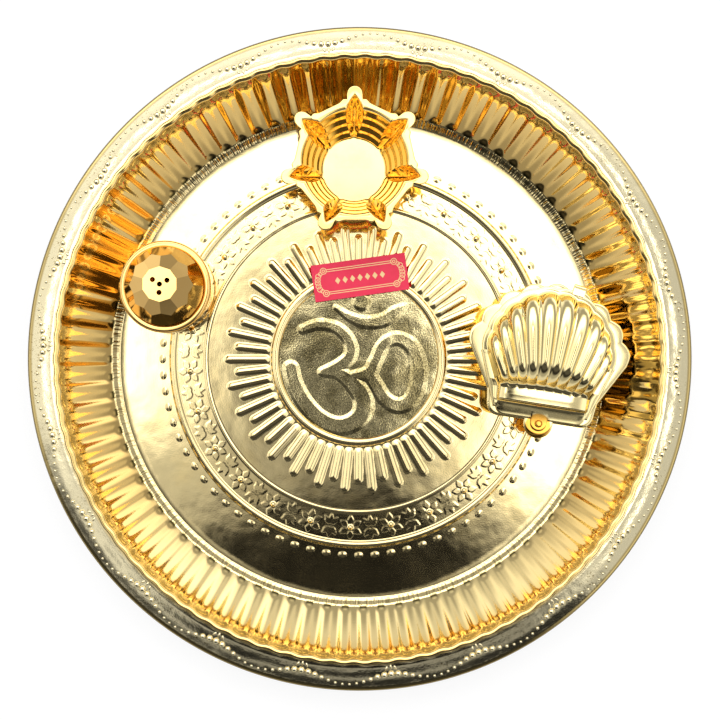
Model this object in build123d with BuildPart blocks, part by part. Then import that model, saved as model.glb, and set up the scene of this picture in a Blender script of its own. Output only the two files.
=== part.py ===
from build123d import *
import os
from math import cos, hypot, radians, sin, sqrt

# A puja thali: a fluted plate that carries a star lamp, an incense stand and a shell box.
# Sizes are in mm. The origin is under the middle of the plate, +Z is up and +Y is the lamp's side.

# Plate
plate_diameter = 254
plate_sheet = 0.6
floor_radius_share = 0.7575
flute_top_radius_share = 0.9055
foot_run = 2.6
foot_rise = 2.4
wall_rise = 18.4
flute_count = 87
flute_foot_depth = 0.9
flute_depth = 2.2
rim_crown = 0.5
rim_bead_radius = 1.2

# Rings and rays embossed in the floor, from the middle outwards
medal_ring_radius_share = 0.347
medal_ring_width = 3.2
outer_ring_radius_share = 0.772
outer_ring_width = 2.6
ring_height = 0.8
ray_count = 60
ray_width = 1.7
ray_height = 0.4
ray_start_gap = 0.3
long_ray_length_share = 0.186
short_ray_length_share = 0.145

# Paper label on the ring of the medallion
label_length = 37.9
label_width = 14.7
label_paper = 0.2
label_radius_share = 0.339
label_angle = 89
label_turn = 8

# Room between a loose accessory and the ring that it stands on
rest_gap = 0.15

# Star lamp
star_points = 7
star_sheet = 0.5
star_height = 18.4
star_floor_radius = 12.7
star_mouth_radius = 20.5
star_step_count = 4
star_tread_share = 0.42
star_flat_reach = 22.7
star_lobe_radius = 2.9
star_tip_radius = 29
star_channel_tip_gap = 3.1
star_channel_half_width = 2.8
star_channel_foot_half_width = 0.8
star_channel_foot_rise = 1.6
star_channel_foot_length = 2.4
star_channel_heel_lap = 4.5
star_wall_gap = 7.8
star_angle = 91.4

# Incense stand
cup_radius = 17.9
cup_sheet = 0.6
cup_corner_radius = 2.6
cup_height = 14.8
cup_shoulder_width = 2.7
cup_lip_drop = 1.2
cup_wall_lap = 2
cup_angle = 159.6
dome_sheet = 0.6
dome_fit_gap = 0.02
dome_skirt_rise = 1.6
dome_top_radius_share = 0.417
facet_count = 10
facet_polar_angles = (36.6, 63)
facet_depth_shares = (0.979, 0.964)
facet_turn_shares = (0, 0.5)
stick_hole_diameter = 2
stick_hole_circle_radius = 3.15
stick_hole_count = 3
stick_hole_angle = 27

# Shell box
shell_angle = -2.7
shell_tilt = -8.7
shell_wall_gap = 0.6
shell_sheet = 0.6
shell_depth = 10.6
shell_lid_gap = 0.15
lobe_count = 9
lobe_pitch = 18
lobe_tip_radius = 33.1
lobe_notch_radius = 31.3
rim_waist_x_share = 0.655
rim_waist_y_share = -0.34
rim_back_x_share = 0.63
rim_back_y_share = -0.64
rim_corner_radius = 4.5
shell_ear_radius = 5.7
shell_bowl_margin = 1.4
shell_bowl_draft = 6.5
rivet_y_share = -0.665
rivet_shank_radius = 0.8
rivet_running_gap = 0.05
rivet_head_radius = 1.5
rivet_head_height = 0.9
rivet_round_share = 0.8
rivet_tail_height = 0.7
rivet_seat_gap = 0.1

# Ribbed lid of the shell box
rib_count = 10
rib_pitch = 19
lid_front_y_share = 0.166
lid_front_radius_share = 0.735
lid_scallop_depth = 0.9
lid_brim = 2
lid_height = 9.6
lid_draft_run = 7
lid_side_draft_share = 0.45
lid_rib_back_y_share = -0.302
lid_rib_back_half_share = 0.514
lid_shelf_front_lap = 0.8
lid_shelf_back_y_share = -0.45
lid_shelf_half_share = 0.5
lid_shelf_height = 2.8
lid_shelf_slope_run = 0.9
lid_back_inset = 0.6
lid_back_half_share = 0.53
lid_ear_radius = 3
rib_hollow_start_share = 0.03
rib_hollow_drop = 0.8
rib_station_shares = (0, 0.14, 0.38, 0.7, 0.9, 1.04)
rib_height_shares = (0.46, 0.72, 0.95, 1, 0.9, 0.62)
rib_edge_shares = (0.3, 0.66, 0.84, 0.93, 0.97, 0.98, 0.97, 0.93, 0.84, 0.66, 0.3)
rib_bulge_share = 0.24

# Folded catch of the shell box
catch_width = 4.5
catch_reach = 4.2
catch_gap = 0.25
catch_angle = 8.4
catch_stand_off = 1.8

# How far a cutting shape runs past the face that it cuts
overrun = 2


def polar(radius, angle):
    """A point in the plane, at a radius and an angle in degrees."""
    return radius * cos(radians(angle)), radius * sin(radians(angle))


def between(first, last, share):
    """The point at a share of the way from the first point to the last."""
    return tuple(a + (b - a) * share for a, b in zip(first, last))


def scallop_ring(height, ridge_radius, depth):
    """A level ring of flutes: sharp ridges on the ridge radius, and hollows that bow out by the depth."""
    step = 360 / flute_count
    with BuildSketch(Plane.XY.offset(height)) as ring:
        with BuildLine():
            for i in range(flute_count):
                start = polar(ridge_radius, i * step)
                middle = polar(ridge_radius + depth, (i + 1 / 2) * step)
                end = polar(ridge_radius, (i + 1) * step)
                ThreePointArc(start, middle, end)
        make_face()
    return ring.sketch


def channel(plane, heel, tip, half_width, angle):
    """A pointed leaf that lies along one point of the star."""
    heel_point = polar(heel, angle)
    tip_point = polar(tip, angle)
    middle = between(heel_point, tip_point, 1 / 2)
    side = polar(half_width, angle + 90)
    with BuildSketch(plane) as leaf:
        with BuildLine():
            ThreePointArc(heel_point, (middle[0] + side[0], middle[1] + side[1]), tip_point)
            ThreePointArc(tip_point, (middle[0] - side[0], middle[1] - side[1]), heel_point)
        make_face()
    return leaf.sketch


def shell_rim(plane):
    """The lobed outline of the shell box's lower half, about the middle of its lobes."""
    start = 90 - lobe_pitch * lobe_count / 2
    with BuildSketch(plane) as outline:
        with BuildLine():
            for i in range(lobe_count):
                angle = start + i * lobe_pitch
                notch = polar(lobe_notch_radius, angle)
                tip = polar(lobe_tip_radius, angle + lobe_pitch / 2)
                next_notch = polar(lobe_notch_radius, angle + lobe_pitch)
                ThreePointArc(notch, tip, next_notch)
            first = polar(lobe_notch_radius, start)
            last = (-first[0], first[1])
            waist = (rim_waist_x, rim_waist_y)
            back = (rim_back_x, rim_back_y)
            Polyline(last, (-waist[0], waist[1]), (-back[0], back[1]), back, waist, first)
        make_face()
        corners = outline.vertices().group_by(Axis.Y)[0]
        fillet(corners, radius=rim_corner_radius)
    return outline.sketch


def lid_outline(plane, margin, scallop, back_y, back_half):
    """The round-fronted outline of the lid, let out by a margin, with scallops along its front."""
    radius = lid_front_radius + margin
    start = 90 - rib_pitch * rib_count / 2
    with BuildSketch(plane) as outline:
        with BuildLine():
            for i in range(rib_count):
                angle = start + i * rib_pitch
                points = []
                for turn, reach in ((0, radius - scallop), (1 / 2, radius), (1, radius - scallop)):
                    x, y = polar(reach, angle + turn * rib_pitch)
                    points.append((x, y + lid_front_y))
                ThreePointArc(*points)
            x, y = polar(radius - scallop, start)
            first = (x, y + lid_front_y)
            Polyline((-first[0], first[1]), (-back_half, back_y), (back_half, back_y), first)
        make_face()
    return outline.sketch


def rib_height(share):
    """The height of the lid's ribs at a share of their length, from the table of heights."""
    for i in range(len(rib_station_shares) - 1):
        if share <= rib_station_shares[i + 1]:
            run = rib_station_shares[i + 1] - rib_station_shares[i]
            part = (share - rib_station_shares[i]) / run
            return rib_height_shares[i] + (rib_height_shares[i + 1] - rib_height_shares[i]) * part
    return rib_height_shares[-1]


def rib_section(index, share, foot, drop):
    """One cross-section of a rib: upright sides from the foot, and a bowed top lowered by the drop."""
    ends = []
    for side in (index, index + 1):
        back = (lid_rib_back_half * (2 * side / rib_count - 1), lid_rib_back_y)
        x, y = polar(lid_front_radius, 90 + rib_pitch * (rib_count / 2 - side))
        ends.append(between(back, (x, y + lid_front_y), share))
    width = hypot(ends[1][0] - ends[0][0], ends[1][1] - ends[0][1])
    middle = between(ends[0], ends[1], 1 / 2)
    top = lid_height * rib_height(share)
    left = top * rib_edge_shares[index] - drop - foot
    right = top * rib_edge_shares[index + 1] - drop - foot
    crest = (left + right) / 2 + width * rib_bulge_share
    left_end = shell_plane.from_local_coords(Vector(*ends[0]))
    right_end = shell_plane.from_local_coords(Vector(*ends[1]))
    across = right_end - left_end
    origin = shell_plane.from_local_coords(Vector(*middle, lid_brim_z + foot))
    with BuildSketch(Plane(origin, x_dir=across, z_dir=across.cross(Vector(0, 0, 1)))) as section:
        with BuildLine():
            Polyline((-width / 2, left), (-width / 2, 0), (width / 2, 0), (width / 2, right))
            ThreePointArc((width / 2, right), (0, crest), (-width / 2, left))
        make_face()
    return section.sketch


def rib_trim(level, inset, wall):
    """A level section of the block that trims the ribs, drawn in by an inset and by a wall."""
    return lid_outline(
        shell_plane.offset(level),
        -inset - wall,
        lid_scallop_depth,
        lid_rib_back_y - overrun,
        lid_rib_back_half - inset * lid_side_draft_share - wall,
    )


def shelf_section(level, inset, front_lap):
    """A level section of the lid's shelf, drawn in by an inset and lapped under the ribs."""
    half = lid_shelf_half - inset
    back = lid_shelf_back_y + inset
    front = lid_rib_back_y + front_lap
    with BuildSketch(shell_plane.offset(level)) as section:
        with BuildLine():
            Polyline((-half, back), (half, back), (half, front), (-half, front), close=True)
        make_face()
    return section.sketch


def bowl_section(level, inset):
    """A level section of the shell's bowl, drawn in by an inset."""
    return lid_outline(
        shell_plane.offset(level), -inset, 0, lid_shelf_back_y + inset, lid_shelf_half - inset
    )


# Levels and radii of the plate
plate_radius = plate_diameter / 2
floor_radius = plate_radius * floor_radius_share
foot_radius = floor_radius + foot_run
foot_z = plate_sheet + foot_rise
rim_z = foot_z + wall_rise
flute_top_radius = plate_radius * flute_top_radius_share
wall_run = flute_top_radius - foot_radius
wall_lap = plate_sheet * hypot(wall_run, wall_rise) / wall_rise
under_foot_z = foot_z - plate_sheet
under_radius = foot_radius + wall_lap - foot_run / foot_rise * foot_z
under_foot_radius = foot_radius + wall_lap - foot_run / foot_rise * plate_sheet
under_flute_radius = foot_radius + wall_lap - wall_run / wall_rise * plate_sheet
rim_start_radius = flute_top_radius - overrun
rim_shelf_radius = flute_top_radius + flute_depth + 2 * wall_lap
rim_end_radius = plate_radius - rim_bead_radius
rim_middle_radius = (rim_shelf_radius + rim_end_radius) / 2
medal_ring_radius = floor_radius * medal_ring_radius_share
outer_ring_radius = floor_radius * outer_ring_radius_share
ray_start_radius = medal_ring_radius + medal_ring_width / 2 + ray_start_gap
rest_z = plate_sheet + ring_height + rest_gap

with BuildPart() as thali_plate:
    # Outside of the floor, its sloping foot and the fluted wall, up into the rim
    with BuildSketch(Plane.XZ):
        with BuildLine():
            Polyline(
                (0, 0),
                (under_radius, 0),
                (under_foot_radius, under_foot_z),
                (0, under_foot_z),
                close=True,
            )
        make_face()
    revolve(axis=Axis.Z)
    wall_foot = scallop_ring(under_foot_z, under_flute_radius, flute_foot_depth)
    wall_top = scallop_ring(rim_z - plate_sheet / 2, flute_top_radius + wall_lap, flute_depth)
    loft([wall_foot, wall_top], ruled=True)
    # Rim with a low crown, and the bead rolled along its edge
    with BuildSketch(Plane.XZ):
        with BuildLine():
            Polyline(
                (rim_shelf_radius, rim_z - plate_sheet),
                (rim_start_radius, rim_z - plate_sheet),
                (rim_start_radius, rim_z),
                (rim_shelf_radius, rim_z),
            )
            ThreePointArc(
                (rim_shelf_radius, rim_z),
                (rim_middle_radius, rim_z + rim_crown),
                (rim_end_radius, rim_z),
            )
            Line((rim_end_radius, rim_z), (rim_end_radius, rim_z - plate_sheet))
            ThreePointArc(
                (rim_end_radius, rim_z - plate_sheet),
                (rim_middle_radius, rim_z + rim_crown - plate_sheet),
                (rim_shelf_radius, rim_z - plate_sheet),
            )
        make_face()
        with Locations((rim_end_radius, rim_z - rim_bead_radius)):
            Circle(rim_bead_radius)
    revolve(axis=Axis.Z)
    # Inside of the fluted wall, the foot and the floor
    flute_foot = scallop_ring(foot_z, foot_radius, flute_foot_depth)
    flute_top = scallop_ring(rim_z, flute_top_radius, flute_depth)
    loft([flute_foot, flute_top], ruled=True, mode=Mode.SUBTRACT)
    extrude(flute_top, amount=overrun, dir=(0, 0, 1), mode=Mode.SUBTRACT)
    with BuildSketch(Plane.XZ):
        with BuildLine():
            Polyline(
                (0, plate_sheet),
                (floor_radius, plate_sheet),
                (foot_radius, foot_z),
                (0, foot_z),
                close=True,
            )
        make_face()
    revolve(axis=Axis.Z, mode=Mode.SUBTRACT)
    # Rays round the medallion, long and short in turn
    for turn, length_share in ((0, long_ray_length_share), (1, short_ray_length_share)):
        ray_length = floor_radius * length_share
        ray_middle = ray_start_radius + ray_length / 2
        first_angle = turn * 360 / ray_count
        with BuildSketch(Plane.XY.offset(plate_sheet)):
            with PolarLocations(ray_middle, ray_count // 2, start_angle=first_angle):
                Rectangle(ray_length, ray_width)
        extrude(amount=ray_height)
    # Raised rings, hollow underneath
    for radius, width in ((medal_ring_radius, medal_ring_width), (outer_ring_radius, outer_ring_width)):
        for level, mode in ((plate_sheet, Mode.ADD), (0, Mode.SUBTRACT)):
            start = (radius - width / 2, level)
            end = (radius + width / 2, level)
            with BuildSketch(Plane.XZ):
                with BuildLine():
                    ThreePointArc(start, (radius, level + ring_height), end)
                    Line(end, start)
                make_face()
            revolve(axis=Axis.Z, mode=mode)
thali_plate.part.label = "thali_plate"

# Label, flat on the crest of the ring
label_x, label_y = polar(floor_radius * label_radius_share, label_angle)
label_plane = Plane((label_x, label_y, plate_sheet + ring_height)).rotated((0, 0, label_turn))
with BuildPart() as paper_label:
    with BuildSketch(label_plane):
        Rectangle(label_length, label_width)
    extrude(amount=label_paper)
paper_label.part.label = "paper_label"

# Star lamp
star_x, star_y = polar(floor_radius - star_floor_radius - star_wall_gap, star_angle)
star_plane = Plane((star_x, star_y, rest_z))
star_lobe_reach = star_tip_radius - star_lobe_radius
star_step_run = (star_mouth_radius - star_floor_radius) / star_step_count
star_step_rise = (star_height - star_sheet) / star_step_count
star_wall = [(star_floor_radius, star_sheet)]
for i in range(star_step_count):
    star_step_radius = star_floor_radius + star_step_run * (i + 1)
    star_step_z = star_sheet + star_step_rise * (i + 1)
    star_wall.append((star_step_radius - star_step_run * star_tread_share, star_step_z))
    if i + 1 < star_step_count:
        star_wall.append((star_step_radius, star_step_z))
star_channel_tip = star_tip_radius - star_channel_tip_gap
star_channel_heel = star_mouth_radius - star_channel_heel_lap
star_foot_heel = star_floor_radius - star_channel_foot_length / 2
star_foot_tip = star_floor_radius + star_channel_foot_length / 2
star_foot_z = star_sheet + star_channel_foot_rise
with BuildPart() as star_diya:
    # Outside of the stepped bowl
    with BuildSketch(Plane((star_x, star_y, rest_z), x_dir=(1, 0, 0), z_dir=(0, -1, 0))):
        with BuildLine():
            outer_wall = [(r + star_sheet, z - star_sheet) for r, z in star_wall]
            Polyline((0, 0), *outer_wall, (0, outer_wall[-1][1]), close=True)
        make_face()
    revolve(axis=Axis((star_x, star_y, 0), (0, 0, 1)))
    # Outside of the wick channels
    for i in range(star_points):
        angle = 90 + i * 360 / star_points
        top = channel(
            star_plane.offset(star_height - star_sheet),
            star_channel_heel - star_sheet,
            star_channel_tip + 2 * star_sheet,
            star_channel_half_width + star_sheet,
            angle,
        )
        foot = channel(
            star_plane.offset(star_foot_z - star_sheet),
            star_foot_heel - star_sheet,
            star_foot_tip + 2 * star_sheet,
            star_channel_foot_half_width + star_sheet,
            angle,
        )
        loft([foot, top], ruled=True)
    # Flat rim with a round lobe at each point
    with BuildSketch(star_plane.offset(star_height - star_sheet)):
        RegularPolygon(star_flat_reach, star_points, major_radius=False, rotation=90)
        with PolarLocations(star_lobe_reach, star_points, start_angle=90):
            Circle(star_lobe_radius)
    extrude(amount=star_sheet)
    # Inside of the bowl
    with BuildSketch(Plane((star_x, star_y, rest_z), x_dir=(1, 0, 0), z_dir=(0, -1, 0))):
        with BuildLine():
            Polyline(
                (0, star_sheet),
                *star_wall,
                (star_wall[-1][0], star_height + overrun),
                (0, star_height + overrun),
                close=True,
            )
        make_face()
    revolve(axis=Axis((star_x, star_y, 0), (0, 0, 1)), mode=Mode.SUBTRACT)
    # Inside of the wick channels
    for i in range(star_points):
        angle = 90 + i * 360 / star_points
        top = channel(
            star_plane.offset(star_height),
            star_channel_heel,
            star_channel_tip,
            star_channel_half_width,
            angle,
        )
        foot = channel(
            star_plane.offset(star_foot_z),
            star_foot_heel,
            star_foot_tip,
            star_channel_foot_half_width,
            angle,
        )
        loft([foot, top], ruled=True, mode=Mode.SUBTRACT)
star_diya.part.label = "star_diya"

# Incense stand
cup_x, cup_y = polar(floor_radius - cup_radius + cup_wall_lap, cup_angle)
cup_plane = Plane((cup_x, cup_y, rest_z))
cup_section = Plane((cup_x, cup_y, rest_z), x_dir=(1, 0, 0), z_dir=(0, -1, 0))
cup_axis = Axis((cup_x, cup_y, 0), (0, 0, 1))
cup_arch = cup_shoulder_width / 2
cup_arch_z = cup_height - cup_arch
cup_inner_corner = cup_corner_radius - cup_sheet
cup_lip_radius = cup_radius - cup_shoulder_width
corner_share = 1 - sqrt(1 / 2)
with BuildPart() as stand_cup:
    with BuildSketch(cup_section):
        with BuildLine():
            Line((0, cup_sheet), (0, 0))
            Line((0, 0), (cup_radius - cup_corner_radius, 0))
            ThreePointArc(
                (cup_radius - cup_corner_radius, 0),
                (cup_radius - cup_corner_radius * corner_share, cup_corner_radius * corner_share),
                (cup_radius, cup_corner_radius),
            )
            Line((cup_radius, cup_corner_radius), (cup_radius, cup_arch_z))
            ThreePointArc(
                (cup_radius, cup_arch_z),
                (cup_radius - cup_arch, cup_height),
                (cup_lip_radius, cup_arch_z),
            )
            Polyline(
                (cup_lip_radius, cup_arch_z),
                (cup_lip_radius, cup_arch_z - cup_lip_drop),
                (cup_lip_radius + cup_sheet, cup_arch_z - cup_lip_drop),
                (cup_lip_radius + cup_sheet, cup_arch_z),
            )
            ThreePointArc(
                (cup_lip_radius + cup_sheet, cup_arch_z),
                (cup_radius - cup_arch, cup_height - cup_sheet),
                (cup_radius - cup_sheet, cup_arch_z),
            )
            Line((cup_radius - cup_sheet, cup_arch_z), (cup_radius - cup_sheet, cup_corner_radius))
            ThreePointArc(
                (cup_radius - cup_sheet, cup_corner_radius),
                (
                    cup_radius - cup_sheet - cup_inner_corner * corner_share,
                    cup_sheet + cup_inner_corner * corner_share,
                ),
                (cup_radius - cup_corner_radius, cup_sheet),
            )
            Line((cup_radius - cup_corner_radius, cup_sheet), (0, cup_sheet))
        make_face()
    revolve(axis=cup_axis)
stand_cup.part.label = "stand_cup"

# Faceted dome, pressed into the lip of the cup
dome_radius = cup_lip_radius - dome_fit_gap
dome_centre_z = cup_arch_z - cup_lip_drop + dome_skirt_rise
dome_top_radius = dome_radius * dome_top_radius_share
dome_top_rise = sqrt(dome_radius**2 - dome_top_radius**2)
hollow_radius = dome_radius * min(facet_depth_shares) - dome_sheet
hollow_top_rise = min(dome_top_rise, hollow_radius) - dome_sheet
hollow_top_radius = sqrt(hollow_radius**2 - hollow_top_rise**2)
dome_foot_z = dome_centre_z - dome_skirt_rise
with BuildPart() as stand_dome:
    with BuildSketch(cup_section):
        with BuildLine():
            Polyline(
                (0, dome_centre_z + dome_top_rise),
                (0, dome_foot_z),
                (dome_radius, dome_foot_z),
                (dome_radius, dome_centre_z),
            )
            RadiusArc(
                (dome_radius, dome_centre_z),
                (dome_top_radius, dome_centre_z + dome_top_rise),
                -dome_radius,
            )
            Line((dome_top_radius, dome_centre_z + dome_top_rise), (0, dome_centre_z + dome_top_rise))
        make_face()
    revolve(axis=cup_axis)
    # Flat facets in two rows, the lower row turned by half a facet
    dome_centre = Vector(cup_x, cup_y, rest_z + dome_centre_z)
    facet_rows = zip(facet_polar_angles, facet_depth_shares, facet_turn_shares)
    for polar_angle, depth_share, turn_share in facet_rows:
        flat, rise = polar(1, 90 - polar_angle)
        for i in range(facet_count):
            azimuth = (i + turn_share) * 360 / facet_count
            normal = Vector(*polar(flat, azimuth), rise)
            facet = Plane(dome_centre + normal * (dome_radius * depth_share), z_dir=normal)
            split(bisect_by=facet, keep=Keep.BOTTOM)
    # Hollow underneath
    with BuildSketch(cup_section):
        with BuildLine():
            Polyline(
                (0, dome_centre_z + hollow_top_rise),
                (0, dome_foot_z - overrun),
                (hollow_radius, dome_foot_z - overrun),
                (hollow_radius, dome_centre_z),
            )
            RadiusArc(
                (hollow_radius, dome_centre_z),
                (hollow_top_radius, dome_centre_z + hollow_top_rise),
                -hollow_radius,
            )
            Line((hollow_top_radius, dome_centre_z + hollow_top_rise), (0, dome_centre_z + hollow_top_rise))
        make_face()
    revolve(axis=cup_axis, mode=Mode.SUBTRACT)
    # Holes for the incense sticks, one in the middle and the others round it
    with Locations(cup_plane.offset(dome_centre_z + dome_top_rise)):
        Hole(stick_hole_diameter / 2, depth=dome_radius)
        with PolarLocations(stick_hole_circle_radius, stick_hole_count, start_angle=stick_hole_angle):
            Hole(stick_hole_diameter / 2, depth=dome_radius)
stand_dome.part.label = "stand_dome"

# Shell box, placed so that its lobes stay clear of the plate's wall
shell_rim_z = rest_z + shell_depth
wall_radius_there = foot_radius + wall_run * (shell_rim_z - foot_z) / wall_rise
shell_x, shell_y = polar(wall_radius_there - lobe_tip_radius - shell_wall_gap, shell_angle)
shell_plane = Plane((shell_x, shell_y, 0)).rotated((0, 0, shell_tilt))
lid_brim_z = shell_rim_z + shell_lid_gap
lid_top_z = lid_brim_z + shell_sheet
rim_waist_x = lobe_tip_radius * rim_waist_x_share
rim_waist_y = lobe_tip_radius * rim_waist_y_share
rim_back_x = lobe_tip_radius * rim_back_x_share
rim_back_y = lobe_tip_radius * rim_back_y_share
rivet_y = lobe_tip_radius * rivet_y_share
lid_front_y = lobe_tip_radius * lid_front_y_share
lid_front_radius = lobe_tip_radius * lid_front_radius_share
lid_rib_back_y = lobe_tip_radius * lid_rib_back_y_share
lid_rib_back_half = lobe_tip_radius * lid_rib_back_half_share
lid_shelf_back_y = lobe_tip_radius * lid_shelf_back_y_share
lid_shelf_half = lobe_tip_radius * lid_shelf_half_share
lid_reach = lid_front_y + lid_front_radius + lid_brim - rivet_y
catch_wall_reach = lid_reach + catch_stand_off
catch_plane = Plane(
    shell_plane.from_local_coords(Vector(0, rivet_y, shell_rim_z)), x_dir=shell_plane.x_dir
).rotated((0, 0, -catch_angle))
catch_top = shell_lid_gap + shell_sheet + catch_gap + shell_sheet

with BuildPart() as shell_base:
    # Outside of the bowl
    bowl_top_z = shell_rim_z - shell_sheet / 2
    outer_margin = shell_bowl_margin - shell_sheet
    bowl_brim = bowl_section(bowl_top_z, outer_margin)
    bowl_base = bowl_section(rest_z, outer_margin + shell_bowl_draft)
    loft([bowl_brim, bowl_base], ruled=True)
    # Lobed rim, with the ear for the rivet and the tongue of the catch
    add(shell_rim(shell_plane.offset(shell_rim_z - shell_sheet)))
    with BuildSketch(shell_plane.offset(shell_rim_z - shell_sheet)):
        with Locations((0, rivet_y)):
            Circle(shell_ear_radius)
    with BuildSketch(catch_plane.offset(-shell_sheet)):
        with Locations((0, catch_wall_reach - catch_reach)):
            Rectangle(catch_width, catch_reach + shell_sheet, align=(Align.CENTER, Align.MIN))
    extrude(amount=shell_sheet)
    # Catch, folded up and back over the brim of the lid
    with BuildSketch(catch_plane.offset(-shell_sheet)):
        with Locations((0, catch_wall_reach)):
            Rectangle(catch_width, shell_sheet, align=(Align.CENTER, Align.MIN))
    extrude(amount=shell_sheet + catch_top)
    with BuildSketch(catch_plane.offset(catch_top - shell_sheet)):
        with Locations((0, catch_wall_reach + shell_sheet)):
            Rectangle(catch_width, catch_reach, align=(Align.CENTER, Align.MAX))
    extrude(amount=shell_sheet)
    # Inside of the bowl
    bowl_mouth = bowl_section(bowl_top_z, shell_bowl_margin)
    bowl_floor = bowl_section(rest_z + shell_sheet, shell_bowl_margin + shell_bowl_draft)
    loft([bowl_mouth, bowl_floor], ruled=True, mode=Mode.SUBTRACT)
    extrude(bowl_mouth, amount=overrun, dir=(0, 0, 1), mode=Mode.SUBTRACT)
    # Hole for the rivet
    with Locations(shell_plane.offset(shell_rim_z)):
        with Locations((0, rivet_y)):
            Hole(rivet_shank_radius, depth=overrun)
shell_base.part.label = "shell_base"

# Hollow under the ribs and the shelf of the lid
with BuildPart() as lid_hollow:
    for i in range(rib_count):
        stations = [max(share, rib_hollow_start_share) for share in rib_station_shares]
        loft([rib_section(i, share, -overrun, rib_hollow_drop) for share in stations], ruled=True)
    trim = [
        rib_trim(lid_brim_z - overrun, 0, shell_sheet),
        rib_trim(lid_brim_z, 0, shell_sheet),
        rib_trim(lid_brim_z + lid_height + overrun, lid_draft_run, shell_sheet),
    ]
    loft(trim, ruled=True, mode=Mode.INTERSECT)
    hollow_lap = 2 * lid_shelf_front_lap
    hollow_shelf_z = lid_brim_z + lid_shelf_height - shell_sheet
    shelf = [
        shelf_section(lid_brim_z - overrun, shell_sheet, hollow_lap),
        shelf_section(lid_brim_z, shell_sheet, hollow_lap),
        shelf_section(hollow_shelf_z, lid_shelf_slope_run + shell_sheet, hollow_lap),
    ]
    loft(shelf, ruled=True)

# Ribbed lid
with BuildPart() as shell_lid:
    for i in range(rib_count):
        loft([rib_section(i, share, 0, 0) for share in rib_station_shares], ruled=True)
    trim = [rib_trim(lid_brim_z, 0, 0), rib_trim(lid_brim_z + lid_height + overrun, lid_draft_run, 0)]
    loft(trim, ruled=True, mode=Mode.INTERSECT)
    shelf = [
        shelf_section(lid_brim_z, 0, lid_shelf_front_lap),
        shelf_section(lid_brim_z + lid_shelf_height, lid_shelf_slope_run, lid_shelf_front_lap),
    ]
    loft(shelf, ruled=True)
    # Brim and ear
    brim = lid_outline(
        shell_plane.offset(lid_brim_z),
        lid_brim,
        lid_scallop_depth / 2,
        rim_back_y + lid_back_inset,
        lobe_tip_radius * lid_back_half_share,
    )
    extrude(brim, amount=shell_sheet)
    with BuildSketch(shell_plane.offset(lid_brim_z)):
        with Locations((0, rivet_y)):
            Circle(lid_ear_radius)
    extrude(amount=shell_sheet)
    add(lid_hollow.part, mode=Mode.SUBTRACT)
    # Hole that turns on the rivet
    with Locations(shell_plane.offset(lid_top_z)):
        with Locations((0, rivet_y)):
            Hole(rivet_shank_radius + rivet_running_gap, depth=overrun)
shell_lid.part.label = "shell_lid"

# Rivet, with a round head over the lid's ear and a tail under the lower ear
rivet_centre = shell_plane.from_local_coords(Vector(0, rivet_y, 0))
rivet_plane = Plane(rivet_centre)
rivet_foot_z = shell_rim_z - shell_sheet
rivet_seat_z = lid_top_z + rivet_seat_gap
with BuildPart() as shell_rivet:
    with BuildSketch(rivet_plane.offset(rivet_foot_z - rivet_tail_height)):
        Circle(rivet_head_radius)
    extrude(amount=rivet_tail_height)
    with BuildSketch(rivet_plane.offset(rivet_foot_z)):
        Circle(rivet_shank_radius)
    extrude(amount=rivet_seat_z - rivet_foot_z)
    with BuildSketch(rivet_plane.offset(rivet_seat_z)):
        Circle(rivet_head_radius)
    extrude(amount=rivet_head_height)
    fillet(shell_rivet.edges().group_by(Axis.Z)[-1], radius=rivet_head_height * rivet_round_share)
shell_rivet.part.label = "shell_rivet"

os.makedirs("parts", exist_ok=True)
export_step(thali_plate.part, "parts/thali_plate.step")
export_step(paper_label.part, "parts/paper_label.step")
export_step(star_diya.part, "parts/star_diya.step")
export_step(stand_cup.part, "parts/stand_cup.step")
export_step(stand_dome.part, "parts/stand_dome.step")
export_step(shell_base.part, "parts/shell_base.step")
export_step(shell_lid.part, "parts/shell_lid.step")
export_step(shell_rivet.part, "parts/shell_rivet.step")
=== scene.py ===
# %% [markdown]
# # A puja thali in polished brass
# A thali is a round worship plate. This one is pressed from thin brass sheet, and it carries a
# star-shaped oil lamp, an incense stand and a shell-shaped powder box. The lesson dresses a packed
# model of it: each bare solid is replaced by a finer mesh, and each mesh gets a brass finish.
# The first cell loads the solids and bakes each one's placement into its mesh, and a helper reads the box of
# each.

# %% Load the frame
import math

import bmesh
import bpy
import numpy as np
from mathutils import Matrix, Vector
from mathutils.geometry import tessellate_polygon


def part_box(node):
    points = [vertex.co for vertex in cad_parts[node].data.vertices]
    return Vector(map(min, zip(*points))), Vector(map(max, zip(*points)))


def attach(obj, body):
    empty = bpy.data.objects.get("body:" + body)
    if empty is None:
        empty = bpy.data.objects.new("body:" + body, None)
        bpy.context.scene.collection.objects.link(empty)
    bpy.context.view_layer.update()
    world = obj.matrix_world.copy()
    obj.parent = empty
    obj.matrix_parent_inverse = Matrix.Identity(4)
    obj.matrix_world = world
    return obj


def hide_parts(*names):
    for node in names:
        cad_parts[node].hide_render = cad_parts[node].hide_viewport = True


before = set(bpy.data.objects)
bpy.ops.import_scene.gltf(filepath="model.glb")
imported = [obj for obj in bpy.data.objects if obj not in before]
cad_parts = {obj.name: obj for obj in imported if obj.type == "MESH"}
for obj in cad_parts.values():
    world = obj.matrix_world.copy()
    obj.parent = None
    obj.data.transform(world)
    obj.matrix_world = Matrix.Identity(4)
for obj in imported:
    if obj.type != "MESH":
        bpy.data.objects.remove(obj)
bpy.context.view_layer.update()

MM = 0.001
print("nodes:", sorted(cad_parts))

# %% [markdown]
# ## Meshes from rows of points
# Pressed sheet is smooth and mirror-bright, so every small kink in a mesh would show as a kink in its
# reflections. Modifiers could round a coarse mesh, but a formula gives the exact surface. Each piece is
# therefore written as rows of points, in mm, and one helper joins the rows into quads. Rows that run from
# the middle outwards, with points that run anticlockwise, give faces that look outwards.

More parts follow.
